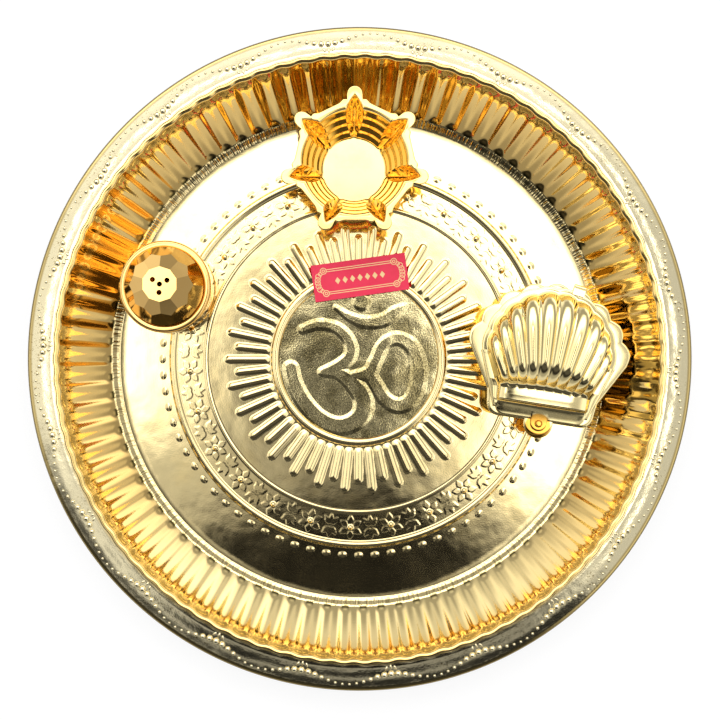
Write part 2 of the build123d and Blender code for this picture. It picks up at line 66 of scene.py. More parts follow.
# %% Helpers that place points
def points_of(x, y, z):
    """Points from their x, y and z, each a number or an array."""
    return np.stack(np.broadcast_arrays(x, y, z), axis=-1)


def polar_point(radius, angle, centre=(0, 0)):
    """The place at a radius and an angle round a centre."""
    return centre[0] + radius * np.cos(angle), centre[1] + radius * np.sin(angle)


def turned(x, y, angle, centre=(0, 0)):
    """A place turned by an angle and moved to a centre."""
    turned_x = centre[0] + x * math.cos(angle) - y * math.sin(angle)
    turned_y = centre[1] + x * math.sin(angle) + y * math.cos(angle)
    return turned_x, turned_y


def round_angles(columns):
    """Evenly spaced angles for one turn."""
    return np.arange(columns) * 2 * np.pi / columns


def arc_line(centre, radius, start, end, count):
    """Points of a circle's arc between two angles in degrees."""
    return [polar_point(radius, angle, centre) for angle in np.radians(np.linspace(start, end, count))]


def turned_rows(line, angles, centre=(0, 0)):
    """Rows of points for a profile of radii and heights. Both may change with the angle."""
    return [points_of(*polar_point(radius, angles, centre), height) for radius, height in line]


def zone_radii(*zones):
    """Radii zone by zone. Each zone is a start, an end and a count."""
    return np.concatenate([np.linspace(*zone) for zone in zones])


def ease(value, low, high):
    """A smooth step from 0 at the low value to 1 at the high value."""
    share = np.clip((value - low) / (high - low), 0, 1)
    return share * share * (3 - 2 * share)


# %% Helpers that turn points into a piece
def row_quads(rows, columns, closed):
    """The quads between rows of points. A closed piece joins the last column to the first."""
    index = np.arange(rows * columns).reshape(rows, columns)
    if closed:
        index = np.hstack([index, index[:, :1]])
    quads = np.stack([index[:-1, :-1], index[1:, :-1], index[1:, 1:], index[:-1, 1:]], axis=-1)
    return quads.reshape(-1, 4)


def add_piece(name, points, faces, body, node=None, crease=60):
    """Makes a smooth mesh from points in mm, sharp only where faces meet at more than the crease angle."""
    mesh = bpy.data.meshes.new(name)
    corners = faces.tolist() if isinstance(faces, np.ndarray) else faces
    mesh.from_pydata((np.asarray(points, float) * MM).tolist(), [], corners)
    work = bmesh.new()
    work.from_mesh(mesh)
    bmesh.ops.remove_doubles(work, verts=work.verts, dist=1e-8)
    work.to_mesh(mesh)
    work.free()
    mesh.polygons.foreach_set("use_smooth", np.ones(len(mesh.polygons), bool))
    mesh.set_sharp_from_angle(angle=math.radians(crease))
    piece = bpy.data.objects.new(name, mesh)
    bpy.context.scene.collection.objects.link(piece)
    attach(piece, body)
    if node:
        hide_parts(node)
    print(name, len(mesh.polygons), "faces")
    return piece


def add_rows(name, rows, body, node=None, crease=60):
    """A piece from rows of points that run round it."""
    rows = np.asarray(rows, float)
    faces = row_quads(rows.shape[0], rows.shape[1], True)
    return add_piece(name, rows.reshape(-1, 3), faces, body, node, crease)


# %% [markdown]
# ## The fluted plate
# The wall of the plate is a ring of 87 flat fingers with shallow hollows between them. On the real plate a
# fluted punch stretches the sheet, so the hollows have sloping sides, the wall steepens towards its top, and
# all of it fades out at the foot and over the rim. A modelled finger could be copied 87 times, but one
# formula over the whole turn has no seams.

# %% Sizes of the plate
plate_low, plate_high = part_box("thali_plate")
plate_radius = plate_high.x / MM
sheet = 0.6
floor_radius = plate_radius * 0.7575
foot_run = 2.0
foot_rise = 1.5
foot_radius = floor_radius + foot_run
foot_z = sheet + foot_rise
rim_z = 21.4
wall_rise = rim_z - foot_z
wall_top_radius = plate_radius * 0.9055
wall_run = wall_top_radius - foot_radius
wall_slopes = (42.5, 50.0, 64.0)
wall_slope_shares = (0, 0.72, 1)
wall_crowding = 1.3
flute_count = 87
flute_columns = 16
flute_crowding = 0.6
flute_depths = (0, 0.8, 0.85, 0.8, 0.4)
flute_shares = (0, 0.07, 0.66, 0.82, 1)
flute_flank = 0.85
flute_rounding = 0.25
flute_blend = 0.03
rim_fillet = 1.6
rim_crown = 0.05
rim_crown_start = 118.8
rim_bead = 1.2
rim_edge_radius = plate_radius - rim_bead
relief_radius = 80.4

# %% The shape of the fingers and hollows
even_angles = round_angles(flute_count * flute_columns)
plate_angles = even_angles + flute_crowding * np.sin(2 * flute_count * even_angles) / (2 * flute_count)
flute_near = np.linspace(-flute_rounding, flute_rounding, 9)[:, None]
flute_wave = -np.cos(plate_angles * flute_count + flute_near)
hollow_share = (1 + np.clip(flute_wave / flute_flank, -1, 1).mean(axis=0)) / 2
wall_shares = np.linspace(0, 1, 101)
wall_leans = 1 / np.tan(np.radians(np.interp(wall_shares, wall_slope_shares, wall_slopes)))
wall_runs = np.concatenate([[0], np.cumsum(wall_leans[1:] + wall_leans[:-1])])
wall_runs = wall_runs / wall_runs[-1] * wall_run
wall_slope = math.radians(wall_slopes[-1])
wall_end_share = 1 - rim_fillet * (1 - math.cos(wall_slope)) / wall_rise
wall_lap = sheet * math.hypot(wall_run, wall_rise) / wall_rise


def wall_reach(share):
    """The radius round the turn at a share of the wall's height: the fingers, and the hollows behind them."""
    near = np.linspace(-flute_blend, flute_blend, 7)
    depth = np.interp(share + near, flute_shares, flute_depths).mean()
    return foot_radius + np.interp(share, wall_shares, wall_runs) + depth * hollow_share


def wall_line(count, lap):
    """The profile of the wall from its foot up, closer together at the foot, moved outwards by a lap."""
    shares = np.linspace(0, 1, count) ** wall_crowding * wall_end_share
    return [(wall_reach(share) + lap, foot_z + wall_rise * share) for share in shares]


def crown_height(radius):
    """The height of the rim's low crown above its flat part."""
    middle = (rim_crown_start + rim_edge_radius) / 2
    half = (rim_edge_radius - rim_crown_start) / 2
    return rim_crown * np.cos(np.clip((radius - middle) / half, -1, 1) * math.pi / 2) ** 2


# %% The wall and the inner half of the rim
floor_end = floor_radius - 0.6
foot_start = (floor_radius + 0.1, sheet + 0.12)
rim_swells = ((0.12, -0.03), (0.22, 0), (0.3, 0.02), (0.38, 0), (0.6, 0), (0.8, 0), (1, 0))
inner_line = [(radius, sheet) for radius in np.linspace(relief_radius, floor_end, 6)]
inner_line.append(foot_start)
inner_line += [(floor_radius + foot_run * share, sheet + foot_rise * share) for share in (0.3, 0.6, 0.9)]
inner_line += wall_line(30, 0)
rim_start = wall_reach(wall_end_share) + rim_fillet * math.sin(wall_slope)
inner_line += arc_line((rim_start, rim_z - rim_fillet), rim_fillet, 90 + wall_slopes[-1], 90, 6)[1:]
rim_run = rim_crown_start - rim_start
inner_line += [(rim_start + rim_run * share, rim_z + swell) for share, swell in rim_swells]
inner_rows = turned_rows(inner_line, plate_angles)
plate_wall = add_rows("plate_wall", inner_rows, "thali", "thali_plate", crease=75)

# %% The outer half of the rim, the rolled edge and the underside
under_rim_radii = (rim_edge_radius - rim_bead - 0.2, 122, 119.5)
under_foot_radius = floor_radius + 0.15
crown_radii = np.linspace(rim_crown_start, rim_edge_radius, 12)
outer_line = [(radius, rim_z + crown_height(radius)) for radius in crown_radii]
outer_line += arc_line((rim_edge_radius, rim_z - rim_bead), rim_bead, 90, -180, 16)[1:]
outer_line += [(radius, rim_z - sheet + crown_height(radius)) for radius in under_rim_radii]
outer_line += wall_line(12, wall_lap)[::-1]
outer_line += [(under_foot_radius, 0), (relief_radius, 0)]
outer_rows = turned_rows(outer_line, plate_angles)
plate_edge = add_rows("plate_edge", outer_rows, "thali", crease=75)

# %% [markdown]
# ## The pressed floor
# The floor is pressed with rings, a band of flowers, sixty rays and an emblem. A bump in the finish would
# look right from above only, so these are real heights. Each zone is a mesh of its own, with points as close
# together as its pattern needs.

# %% The rings that the zones share
medal_ring_radius = floor_radius * 0.347
medal_ring_width = 3.2
ring_rise = 0.8
floor_rings = (
    (floor_radius * 0.772, 2.6, ring_rise),
    (medal_ring_radius, medal_ring_width, ring_rise),
    (61.4, 1.3, 0.14),
)
rays_end_radius = 57.3
emblem_radius = medal_ring_radius - medal_ring_width / 2 - 0.1


def rings_height(radius):
    """How high the pressed rings stand at a radius. Each ring has a middle, a width and a round top."""
    height = 0
    for middle, width, rise in floor_rings:
        height += rise * math.sqrt(max(1 - (2 * (radius - middle) / width) ** 2, 0))
    return height


# %% The band of flowers between two rings
motif_count = 26
motif_columns = 52
band_middle = 67.4
motif_length = 2 * math.pi * band_middle / motif_count
flower_at = motif_length * 0.3
spray_at = motif_length * 0.8
motif_rise = 0.65
motif_spread = 0.15
motif_bevel = 0.9
petal_count = 6
petal_root = 1.3
petal_tip = 4.9
petal_half = 1.15
flower_eye_half = 1.15
spray_leaf_half = 0.95
spray_leaves = []
for up in (1, -1):
    spray_leaves.append(((0, 0.6 * up), (0, 4.9 * up)))
    for side in (1, -1):
        spray_leaves.append(((0.5 * side, 0.5 * up), (2.7 * side, 3.6 * up)))


def leaf_reach(places, root, tip, half):
    """How far each place lies outside a pointed leaf."""
    root = np.asarray(root)
    along = np.asarray(tip) - root
    length = np.linalg.norm(along)
    along = along / length
    step = (places - root) @ along
    side = np.abs((places - root) @ np.array([-along[1], along[0]]))
    share = np.clip(step / length, 0, 1)
    past = np.maximum(np.maximum(-step, step - length), 0)
    return np.maximum(side - half * np.sin(np.pi * share**0.8), past)


def motif_reach(places):
    """How far each place lies outside the flower and the spray of leaves beside it."""
    flower = places - (flower_at, 0)
    reach = np.linalg.norm(flower, axis=-1) - flower_eye_half
    for angle in round_angles(petal_count) + math.pi / 2:
        root = polar_point(petal_root, angle)
        reach = np.minimum(reach, leaf_reach(flower, root, polar_point(petal_tip, angle), petal_half))
    spray = places - (spray_at, 0)
    for root, tip in spray_leaves:
        reach = np.minimum(reach, leaf_reach(spray, root, tip, spray_leaf_half))
    return reach


band_radii = zone_radii(
    (rays_end_radius, 62.2, 12), (62.4, 72.4, 46), (72.7, 76.2, 13), (78, relief_radius, 2)
)
cell_along = np.arange(motif_columns) * motif_length / motif_columns
cell_places = np.stack(np.meshgrid(cell_along, band_middle - band_radii), axis=-1)
cell_heights = motif_rise * ease(-motif_reach(cell_places), -motif_spread, motif_bevel)
band_line = []
for radius, heights in zip(band_radii, cell_heights):
    band_line.append((radius, sheet + rings_height(radius) + np.tile(heights, motif_count)))
band_rows = turned_rows(band_line, round_angles(motif_count * motif_columns))
plate_band = add_rows("plate_band", band_rows, "thali")

# %% The rays and the ring of the medallion
ray_count = 60
ray_columns = 18
ray_start = 35.6
ray_ends = (53.4, 49.6)
ray_half = 1.65
ray_gap = 0.5
ray_rise = 0.72
ray_angles = round_angles(ray_count * ray_columns)
ray_index = np.round(ray_angles * ray_count / (2 * np.pi)).astype(int)
ray_off = ray_angles - ray_index * 2 * np.pi / ray_count
ray_end = np.where(ray_index % 2 == 0, ray_ends[0], ray_ends[1])
rays_radii = zone_radii((emblem_radius, 35.2, 14), (35.5, rays_end_radius, 50))
rays_line = []
for radius in rays_radii:
    half = min(ray_half, math.pi * radius / ray_count - ray_gap / 2)
    side = radius * np.sin(ray_off)
    past = np.maximum(ray_start + half - radius, radius - ray_end + half).clip(0)
    across = np.clip(np.hypot(side, past) / half, 0, 1)
    rays_line.append((radius, sheet + ray_rise * (1 - across**1.5) + rings_height(radius)))
plate_rays = add_rows("plate_rays", turned_rows(rays_line, ray_angles), "thali")

# %% [markdown]
# ## The emblem
# The medallion holds the traditional sign of a sacred syllable, pressed up with broad flat strokes and
# sloping sides. It is drawn as smooth lines with a half width at each point, and each vertex of a disc is
# lifted by how deep it lies inside a stroke. A square grid bent into a disc has no crowded middle.

# %% The emblem's strokes, each point with its half width
upper_bowl = [
    (-22.4, 11.9, 1.9), (-16.3, 13.9, 2.2), (-9.7, 12.9, 2.3), (-5.2, 9.4, 2.5), (-3.0, 4.6, 2.7),
    (-4.0, 0.4, 2.8), (-8.3, -2.9, 2.7), (-14.4, -5.1, 1.9),
]
lower_bowl = [
    (-14.4, -5.1, 1.9), (-8.3, -5.5, 2.7), (-2.6, -9.5, 3.5), (1.7, -15.6, 4.0), (1.4, -21.6, 4.0),
    (-2.9, -25.6, 3.8), (-8.8, -26.6, 3.6), (-15.8, -23.5, 3.5), (-21.8, -17.0, 3.4), (-25.7, -9.6, 3.3),
    (-27.1, -3.7, 3.2),
]
right_loop = [
    (-2.2, -6.7, 2.0), (4.0, -5.5, 2.9), (6.8, -0.6, 2.7), (9.9, 5.6, 2.7), (15.3, 8.3, 2.8),
    (20.9, 5.5, 3.0), (23.9, -1.5, 3.2), (23.7, -10.0, 3.3), (20.7, -16.5, 3.2), (15.8, -18.6, 3.1),
    (10.6, -16.0, 2.9), (7.1, -10.5, 2.8), (4.0, -5.5, 2.6),
]
crescent = [
    (-9.2, 20.7, 1.0), (-3.6, 16.9, 1.9), (2.6, 14.8, 2.5), (9.7, 15.5, 2.8), (14.9, 18.8, 2.6),
    (18.4, 21.4, 1.1),
]
crown_dot = (1.2, 23.1)
crown_dot_half = 3.7
emblem_rise = 0.46
emblem_spread = 0.4
emblem_bevel = 1.15
emblem_fade = 0.5
emblem_grid = 300


def curve_points(points, steps):
    """A smooth line through a few points: each stretch is a cubic that follows its neighbours."""
    points = np.asarray(points, float)
    padded = np.vstack([2 * points[0] - points[1], points, 2 * points[-1] - points[-2]])
    share = np.linspace(0, 1, steps, endpoint=False)[:, None]
    line = []
    for a, b, c, d in zip(padded[:-3], padded[1:-2], padded[2:-1], padded[3:]):
        line.append(
            b + share * (c - a) / 2
            + share**2 * (2 * a - 5 * b + 4 * c - d) / 2
            + share**3 * (3 * b - a - 3 * c + d) / 2
        )
    return np.vstack(line + [points[-1:]])


def stroke_reach(places, line):
    """How far each place lies outside a stroke. The line gives its middle and its half width."""
    reach = np.full(places.shape[:-1], np.inf)
    for start, end in zip(line[:-1], line[1:]):
        along = end[:2] - start[:2]
        share = np.clip(((places - start[:2]) @ along) / (along @ along), 0, 1)
        near = start[:2] + share[..., None] * along
        half = start[2] + share * (end[2] - start[2])
        reach = np.minimum(reach, np.linalg.norm(places - near, axis=-1) - half)
    return reach


# %% The emblem's disc
across = np.linspace(-1, 1, emblem_grid)
u, v = np.meshgrid(across, across)
disc = emblem_radius * np.stack([u * np.sqrt(1 - v**2 / 2), v * np.sqrt(1 - u**2 / 2)], axis=-1)
emblem_reach = np.linalg.norm(disc - crown_dot, axis=-1) - crown_dot_half
for stroke in (upper_bowl, lower_bowl, right_loop, crescent):
    emblem_reach = np.minimum(emblem_reach, stroke_reach(disc, curve_points(stroke, 10)))
edge_fade = ease(emblem_radius - np.linalg.norm(disc, axis=-1), 0, emblem_fade)
emblem_height = sheet + emblem_rise * ease(-emblem_reach, -emblem_spread, emblem_bevel) * edge_fade
emblem_points = np.dstack([disc, emblem_height]).reshape(-1, 3)
emblem_faces = row_quads(emblem_grid, emblem_grid, False)[:, ::-1]
plate_emblem = add_piece("plate_emblem", emblem_points, emblem_faces, "thali")

# %% The plain underside of the floor
under_radii = (relief_radius, 77, 75.6, 75.2, 74.3, 73.4, 73, 60, 35, 34.6, 33.4, 32.2, 31.8, 16, 0)
under_line = [(radius, rings_height(radius) / 2) for radius in under_radii]
plate_under = add_rows("plate_under", turned_rows(under_line, round_angles(240)), "thali")

# %% [markdown]
# ## Pearls
# The punch leaves rows of pearls: a ring of them outside the band of flowers, and 22 hanging swags along
# the rim, with large pearls where a swag hangs lowest. Spheres sunk in the sheet would have hidden halves,
# so each pearl is only its visible dome. All domes of a row are one mesh.

# %% A helper that sets domes on the sheet
dome_columns = 14
dome_rows = 6


def add_domes(name, domes, body, soft=False):
    """Joins low domes into one piece. Each is a place, a radius, a height, a stretch and its angle.

    Soft domes rise gently out of the sheet, the others stand on it with a clear edge.
    """
    points = []
    faces = []
    turn = round_angles(dome_columns)
    quads = row_quads(dome_rows, dome_columns, True)[:, ::-1]
    for number, ((x, y, z), radius, height, stretch, angle) in enumerate(domes):
        faces.append(quads + number * dome_rows * dome_columns)
        for climb in np.linspace(0, math.pi / 2, dome_rows):
            ring = math.cos(climb)
            lift = (1 + math.cos(math.pi * ring)) / 2 if soft else math.sin(climb)
            along, side = polar_point(radius * ring, turn)
            points.append(points_of(*turned(stretch * along, side, angle, (x, y)), z + height * lift))
    return add_piece(name, np.concatenate(points), np.concatenate(faces), body, crease=85)


# %% Swags of pearls along the rim, with a sprig in each
swag_count = 22
swag_pearls = 13
swag_turn = 2 * math.pi / swag_count
swag_middle = 122.6
swag_dip = 1.75
swag_phase = 0.35
pearl_least = 0.52
pearl_gain = 0.78
pearl_height_share = 0.8
pearl_sink = 0.08
sprig_leaves = ((-0.9, 118.6), (0, 118.2), (0.9, 118.6))
sprig_spread = 0.016
sprig_lean = 0.5
sprig_shape = (0.42, 0.3, 2.2)
sprig_sink = 0.05
rim_pearls = []
for i in range(swag_count):
    for j in range(swag_pearls):
        share = (j + 0.5) / swag_pearls
        low = (1 - math.cos(2 * math.pi * share)) / 2
        radius = swag_middle + swag_dip * (1 - 2 * low)
        size = pearl_least + pearl_gain * low**1.5
        x, y = polar_point(radius, (i + share + swag_phase) * swag_turn)
        place = (x, y, rim_z + crown_height(radius) - pearl_sink)
        rim_pearls.append((place, size, size * pearl_height_share, 1, 0))
    angle = (i + 0.5 + swag_phase) * swag_turn
    for lean, reach in sprig_leaves:
        place = (*polar_point(reach, angle + lean * sprig_spread), rim_z - sprig_sink)
        rim_pearls.append((place, *sprig_shape, angle + lean * sprig_lean))
plate_swags = add_domes("plate_swags", rim_pearls, "thali")

# %% The ring of pearls outside the band
pearl_count = 76
pearl_circle = 78.4
pearl_level = sheet - 0.02
pearl_shape = (1.8, 0.17, 1.3)
floor_pearls = []
for angle in round_angles(pearl_count):
    place = (*polar_point(pearl_circle, angle), pearl_level)
    floor_pearls.append((place, *pearl_shape, angle + math.pi / 2))
plate_pearls = add_domes("plate_pearls", floor_pearls, "thali", soft=True)

# %% [markdown]
# ## The star lamp
# The lamp is one deep pressing: a round bowl with stepped sides, a flat rim with seven points and a pointed
# wick channel to each point. Two profiles are enough. One runs up the steps, the other up a channel, and each
# column of points takes a mix of the two, so that the channels cut through the steps as the punch does.

# %% The lamp's outline
star_low, star_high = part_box("star_diya")
star_points = 7
star_pitch = 2 * math.pi / star_points
star_tip = 29
star_centre = ((star_low.x + star_high.x) / 2 / MM, star_high.y / MM - star_tip)
star_sheet = 0.5
star_base_z = star_low.z / MM
star_floor_z = star_base_z + star_sheet
star_rim_z = star_high.z / MM
star_floor_radius = 12.7
star_mouth = 20.5
star_flat = 22.7
star_lobe = 2.9
star_shoulder = 0.75
shoulder_angle = math.radians(10.5)
shoulder_spread = math.radians(2.6)
star_turn = round_angles(star_points * 66)
star_angles = math.pi / 2 + star_turn
star_off = np.abs((star_turn + star_pitch / 2) % star_pitch - star_pitch / 2)


def star_outline():
    """The reach of the flat rim at each angle: a heptagon, a round lobe on each point and small shoulders."""
    flat = star_flat / np.cos(star_pitch / 2 - star_off)
    middle = star_tip - star_lobe
    side = middle * np.sin(star_off)
    inside = np.clip(star_lobe**2 - side**2, 0, None)
    lobe = np.where(side < star_lobe, middle * np.cos(star_off) + np.sqrt(inside), 0)
    shoulder = star_shoulder * np.exp(-(((star_off - shoulder_angle) / shoulder_spread) ** 2))
    return np.maximum(flat + shoulder, lobe)


# %% The lamp's two profiles
star_steps = 4
step_ledge_share = 0.68
step_dip_share = 0.14
channel_foot = star_floor_radius + 0.4
channel_tip = 25.9
channel_end = channel_tip + 0.5
channel_halves = (1.3, 3.6)
channel_open_share = 0.75
bowl_start = (star_floor_radius - 1.5, star_floor_z)
bowl_spacing = 0.3
channel_spacing = 0.1


def even_line(points, spacing, blur):
    """Points at an even spacing along a line of corners, with the corners rounded by a moving mean."""
    points = np.asarray(points, float)
    run = np.concatenate([[0], np.cumsum(np.linalg.norm(np.diff(points, axis=0), axis=1))])
    count = int(run[-1] / spacing)
    at = np.linspace(0, run[-1], count)
    line = np.stack([np.interp(at, run, points[:, 0]), np.interp(at, run, points[:, 1])], axis=-1)
    padded = np.vstack([line[:1]] * blur + [line] + [line[-1:]] * blur)
    return sum(padded[i:i + count] for i in range(2 * blur + 1)) / (2 * blur + 1)


step_run = (star_mouth - star_floor_radius) / star_steps
step_rise = (star_rim_z - star_floor_z) / star_steps
bowl_corners = [bowl_start, (star_floor_radius, star_floor_z)]
for i in range(star_steps):
    top = star_floor_z + step_rise * (i + 1)
    ledge = star_floor_radius + step_run * (i + step_ledge_share)
    bowl_corners.append((ledge, top - step_rise * step_dip_share))
    bowl_corners.append((star_floor_radius + step_run * (i + 1), top))
channel_corners = [bowl_start, (channel_foot, star_floor_z)]
channel_corners += [(channel_tip, star_rim_z), (channel_end, star_rim_z)]
bowl_line = even_line(bowl_corners, bowl_spacing, 1)
channel_line = even_line(channel_corners, channel_spacing, 3)
channel_line = channel_line[np.linspace(0, len(channel_line) - 1, len(bowl_line)).astype(int)]

# %% The lamp's mesh, up the inside, over the rim and back underneath
star_middle = 6
star_rim_inset = 0.2
star_edge_inset = 0.18
star_edge_drop = 0.15
star_side = []
for i, (bowl, groove) in enumerate(zip(bowl_line, channel_line)):
    opening = ease(i / (len(bowl_line) - 1), 0, channel_open_share)
    half = channel_halves[0] + (channel_halves[1] - channel_halves[0]) * opening
    side = star_off * (bowl[0] + groove[0]) / 2
    mix = np.clip(1 - side / half, 0, 1) ** 0.85
    star_side.append((bowl[0] + (groove[0] - bowl[0]) * mix, bowl[1] + (groove[1] - bowl[1]) * mix))
star_reach = star_outline()
mouth_edge = star_side[-1][0]
star_line = [(0, star_floor_z), (star_middle, star_floor_z)] + star_side
for share in (0.1, 0.5, 0.9):
    star_line.append((mouth_edge + (star_reach - star_rim_inset - mouth_edge) * share, star_rim_z))
star_line.append((star_reach - star_edge_inset, star_rim_z))
star_line.append((star_reach, star_rim_z - star_edge_drop))
star_line.append((star_reach, star_rim_z - star_sheet))
for radius, level in star_side[::-3]:
    star_line.append((radius + star_sheet, np.maximum(level - star_sheet, star_base_z)))
star_line.append((0, star_base_z))
star_rows = turned_rows(star_line, star_angles, star_centre)
star_lamp = add_rows("star_lamp", star_rows, "star_lamp", "star_diya", crease=70)

# %% [markdown]
# ## The incense stand
# The stand is a small drum with a rolled shoulder, and a dome pressed into it. The drum is turned from a
# profile, with enough columns for clean reflections.

# %% The drum
cup_low, cup_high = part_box("stand_cup")
cup_centre = ((cup_low.x + cup_high.x) / 2 / MM, (cup_low.y + cup_high.y) / 2 / MM)
cup_radius = (cup_high.x - cup_low.x) / 2 / MM
cup_base = cup_low.z / MM
cup_top = cup_high.z / MM
cup_sheet = 0.6
cup_corner = 2.6
cup_arch = 1.35
cup_shoulder = 1.1
cup_floor_radius = 8
lip_round = 0.7
lip_radius = cup_radius - 2 * cup_arch
arch_z = cup_top - cup_arch
lip_start = arch_z - 0.4
lip_end = arch_z - 1.2
side_levels = (arch_z - 2, (cup_top + cup_base) / 2, cup_base + cup_corner + 1)
corner_centre = (cup_radius - cup_corner, cup_base + cup_corner)
cup_line = [(lip_radius, lip_end), (lip_radius, lip_start)]
cup_line += arc_line((lip_radius + lip_round, cup_top - lip_round), lip_round, 180, 90, 8)
cup_line += arc_line((cup_radius - cup_shoulder, cup_top - cup_shoulder), cup_shoulder, 90, 0, 10)
cup_line += [(cup_radius, level) for level in side_levels]
cup_line += arc_line(corner_centre, cup_corner, 0, -90, 12)
cup_line += [(cup_floor_radius, cup_base), (0, cup_base)]
cup_line += [(0, cup_base + cup_sheet), (cup_floor_radius, cup_base + cup_sheet)]
cup_line += arc_line(corner_centre, cup_corner - cup_sheet, -90, 0, 8)
cup_line += arc_line((cup_radius - cup_arch, arch_z), cup_arch - cup_sheet, 0, 180, 10)
cup_line += [(lip_radius + cup_sheet, lip_end), (lip_radius, lip_end)]
cup_rows = turned_rows(cup_line, round_angles(240), cup_centre)
stand_drum = add_rows("stand_drum", cup_rows, "incense_stand", "stand_cup")

# %% [markdown]
# ## The faceted dome
# The dome is cut like a stone: a flat top, ten upper facets and ten lower ones, turned by half a facet. Flats
# pressed into a ball would be round patches, so each fold is worked out instead as the line where two flats
# meet. The sheet has an inner side too, and the holes for the sticks go right through it.

# %% Where the flats of the dome meet
dome_low, dome_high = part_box("stand_dome")
dome_radius = (dome_high.x - dome_low.x) / 2 / MM
dome_skirt = 1.6
dome_middle = dome_low.z / MM + dome_skirt
dome_top = dome_high.z / MM - dome_middle
facet_count = 10
facet_turn = 2 * math.pi / facet_count
upper_lean = math.radians(36.6)
lower_lean = math.radians(63)
upper_depth = dome_radius * 0.979
lower_depth = dome_radius * 0.964
gem_angles = round_angles(12 * facet_count)
upper_pull = np.cos((gem_angles + facet_turn / 2) % facet_turn - facet_turn / 2) * math.sin(upper_lean)
lower_pull = np.cos(gem_angles % facet_turn - facet_turn / 2) * math.sin(lower_lean)
top_reach = (upper_depth - dome_top * math.cos(upper_lean)) / upper_pull
fold_reach = lower_depth * math.cos(upper_lean) - upper_depth * math.cos(lower_lean)
fold_reach = fold_reach / (lower_pull * math.cos(upper_lean) - upper_pull * math.cos(lower_lean))
fold_level = (upper_depth - fold_reach * upper_pull) / math.cos(upper_lean)
skirt_level = (lower_depth - dome_radius * lower_pull) / math.cos(lower_lean)
gem_line = [(top_reach, dome_top), (fold_reach, fold_level)]
gem_line += [(dome_radius, skirt_level), (dome_radius, -dome_skirt)]

# %% The dome with its holes
hole_radius = 1.0
hole_circle = 3.15
hole_turn = math.radians(27)
hole_angles = round_angles(24)
hole_spots = [cup_centre]
hole_spots += [polar_point(hole_circle, angle, cup_centre) for angle in hole_turn + round_angles(3)]
gem_points = []
gem_faces = []


def add_to_gem(points, faces):
    """Adds points and the faces between them to the dome."""
    first = len(gem_points)
    gem_points.extend(points)
    gem_faces.extend([[first + int(corner) for corner in face] for face in faces])


gem_rows = []
for scale, order in ((1, 1), (1 - cup_sheet / dome_radius, -1)):
    line = [(reach * scale, dome_middle + level * scale) for reach, level in gem_line]
    gem_rows += turned_rows(line, gem_angles, cup_centre)[::order]
add_to_gem(np.concatenate(gem_rows), row_quads(len(gem_rows), len(gem_angles), True))
for outline, side in ((gem_rows[0], 1), (gem_rows[-1], -1)):
    level = outline[0, 2]
    loops = [outline] + [turned_rows([(hole_radius, level)], hole_angles, spot)[0] for spot in hole_spots]
    corners = np.concatenate(loops)
    faces = []
    for a, b, c in tessellate_polygon([[Vector(point) for point in loop] for loop in loops]):
        turn = np.cross(corners[b] - corners[a], corners[c] - corners[a])[2]
        faces.append((a, b, c) if turn * side > 0 else (a, c, b))
    add_to_gem(corners, faces)
for spot in hole_spots:
    hole_line = [(hole_radius, gem_rows[0][0, 2]), (hole_radius, gem_rows[-1][0, 2])]
    hole_rows = turned_rows(hole_line, hole_angles, spot)
    add_to_gem(np.concatenate(hole_rows), row_quads(2, len(hole_angles), True)[:, ::-1])
stand_gem = add_piece(
    "stand_gem", gem_points, gem_faces, "incense_stand", "stand_dome", crease=12
)

# %% [markdown]
# ## The shell box
# The powder box is shaped like a scallop shell. Its lower half is a shallow bowl with a flat lobed rim, and
# its lid is a fan of ten broad ribs that swings aside on a rivet. The lid is one grid of points: its columns
# follow the ribs and its rows run from the rivet's end to the front, along the folds of the sheet.

# %% Where the shell lies
rivet_low, rivet_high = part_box("shell_rivet")
rivet_centre = ((rivet_low.x + rivet_high.x) / 2 / MM, (rivet_low.y + rivet_high.y) / 2 / MM)
base_low, base_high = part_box("shell_base")
lid_low, lid_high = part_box("shell_lid")
shell_base_z = base_low.z / MM
lid_z = lid_low.z / MM
shell_sheet = 0.6
lid_gap = 0.15
shell_rim_z = lid_z - lid_gap
shell_tilt = math.radians(-8.7)
lobe_tip = 33.1
lobe_notch = 31.3
rivet_y = -0.665 * lobe_tip
shell_centre = np.subtract(rivet_centre, turned(0, rivet_y, shell_tilt))
lid_front = (0, 5.5)
lid_front_radius = 24.33
shelf_half = 16.55
shelf_back_y = -14.9


def in_shell(points):
    """Turns points in the shell's own frame, which is centred on its lobes, into the plate's frame."""
    points = np.asarray(points, float)
    return points_of(*turned(points[..., 0], points[..., 1], shell_tilt, shell_centre), points[..., 2])


# %% The outlines of the lower half
base_angles = round_angles(720)
lobe_start = 9
lobe_repeat = 10
shell_waist = (21.7, -11.3)
shell_back = (20.9, -18.0)
shell_corner = (16.4, -16.7)
shell_corner_radius = 4.5
ear_radius = 5.7
mouth_inset = 1.4
foot_inset = 7.9


def reach_of(outline):
    """The distance from the middle to a closed outline, at each of the base's angles."""
    outline = np.asarray(outline + outline[:1], float)
    share = np.linspace(0, 1, 60)[:, None]
    dense = np.concatenate([start + (end - start) * share for start, end in zip(outline[:-1], outline[1:])])
    angle = np.arctan2(dense[:, 1], dense[:, 0])
    return np.interp(base_angles, angle, np.linalg.norm(dense, axis=1), period=2 * np.pi)


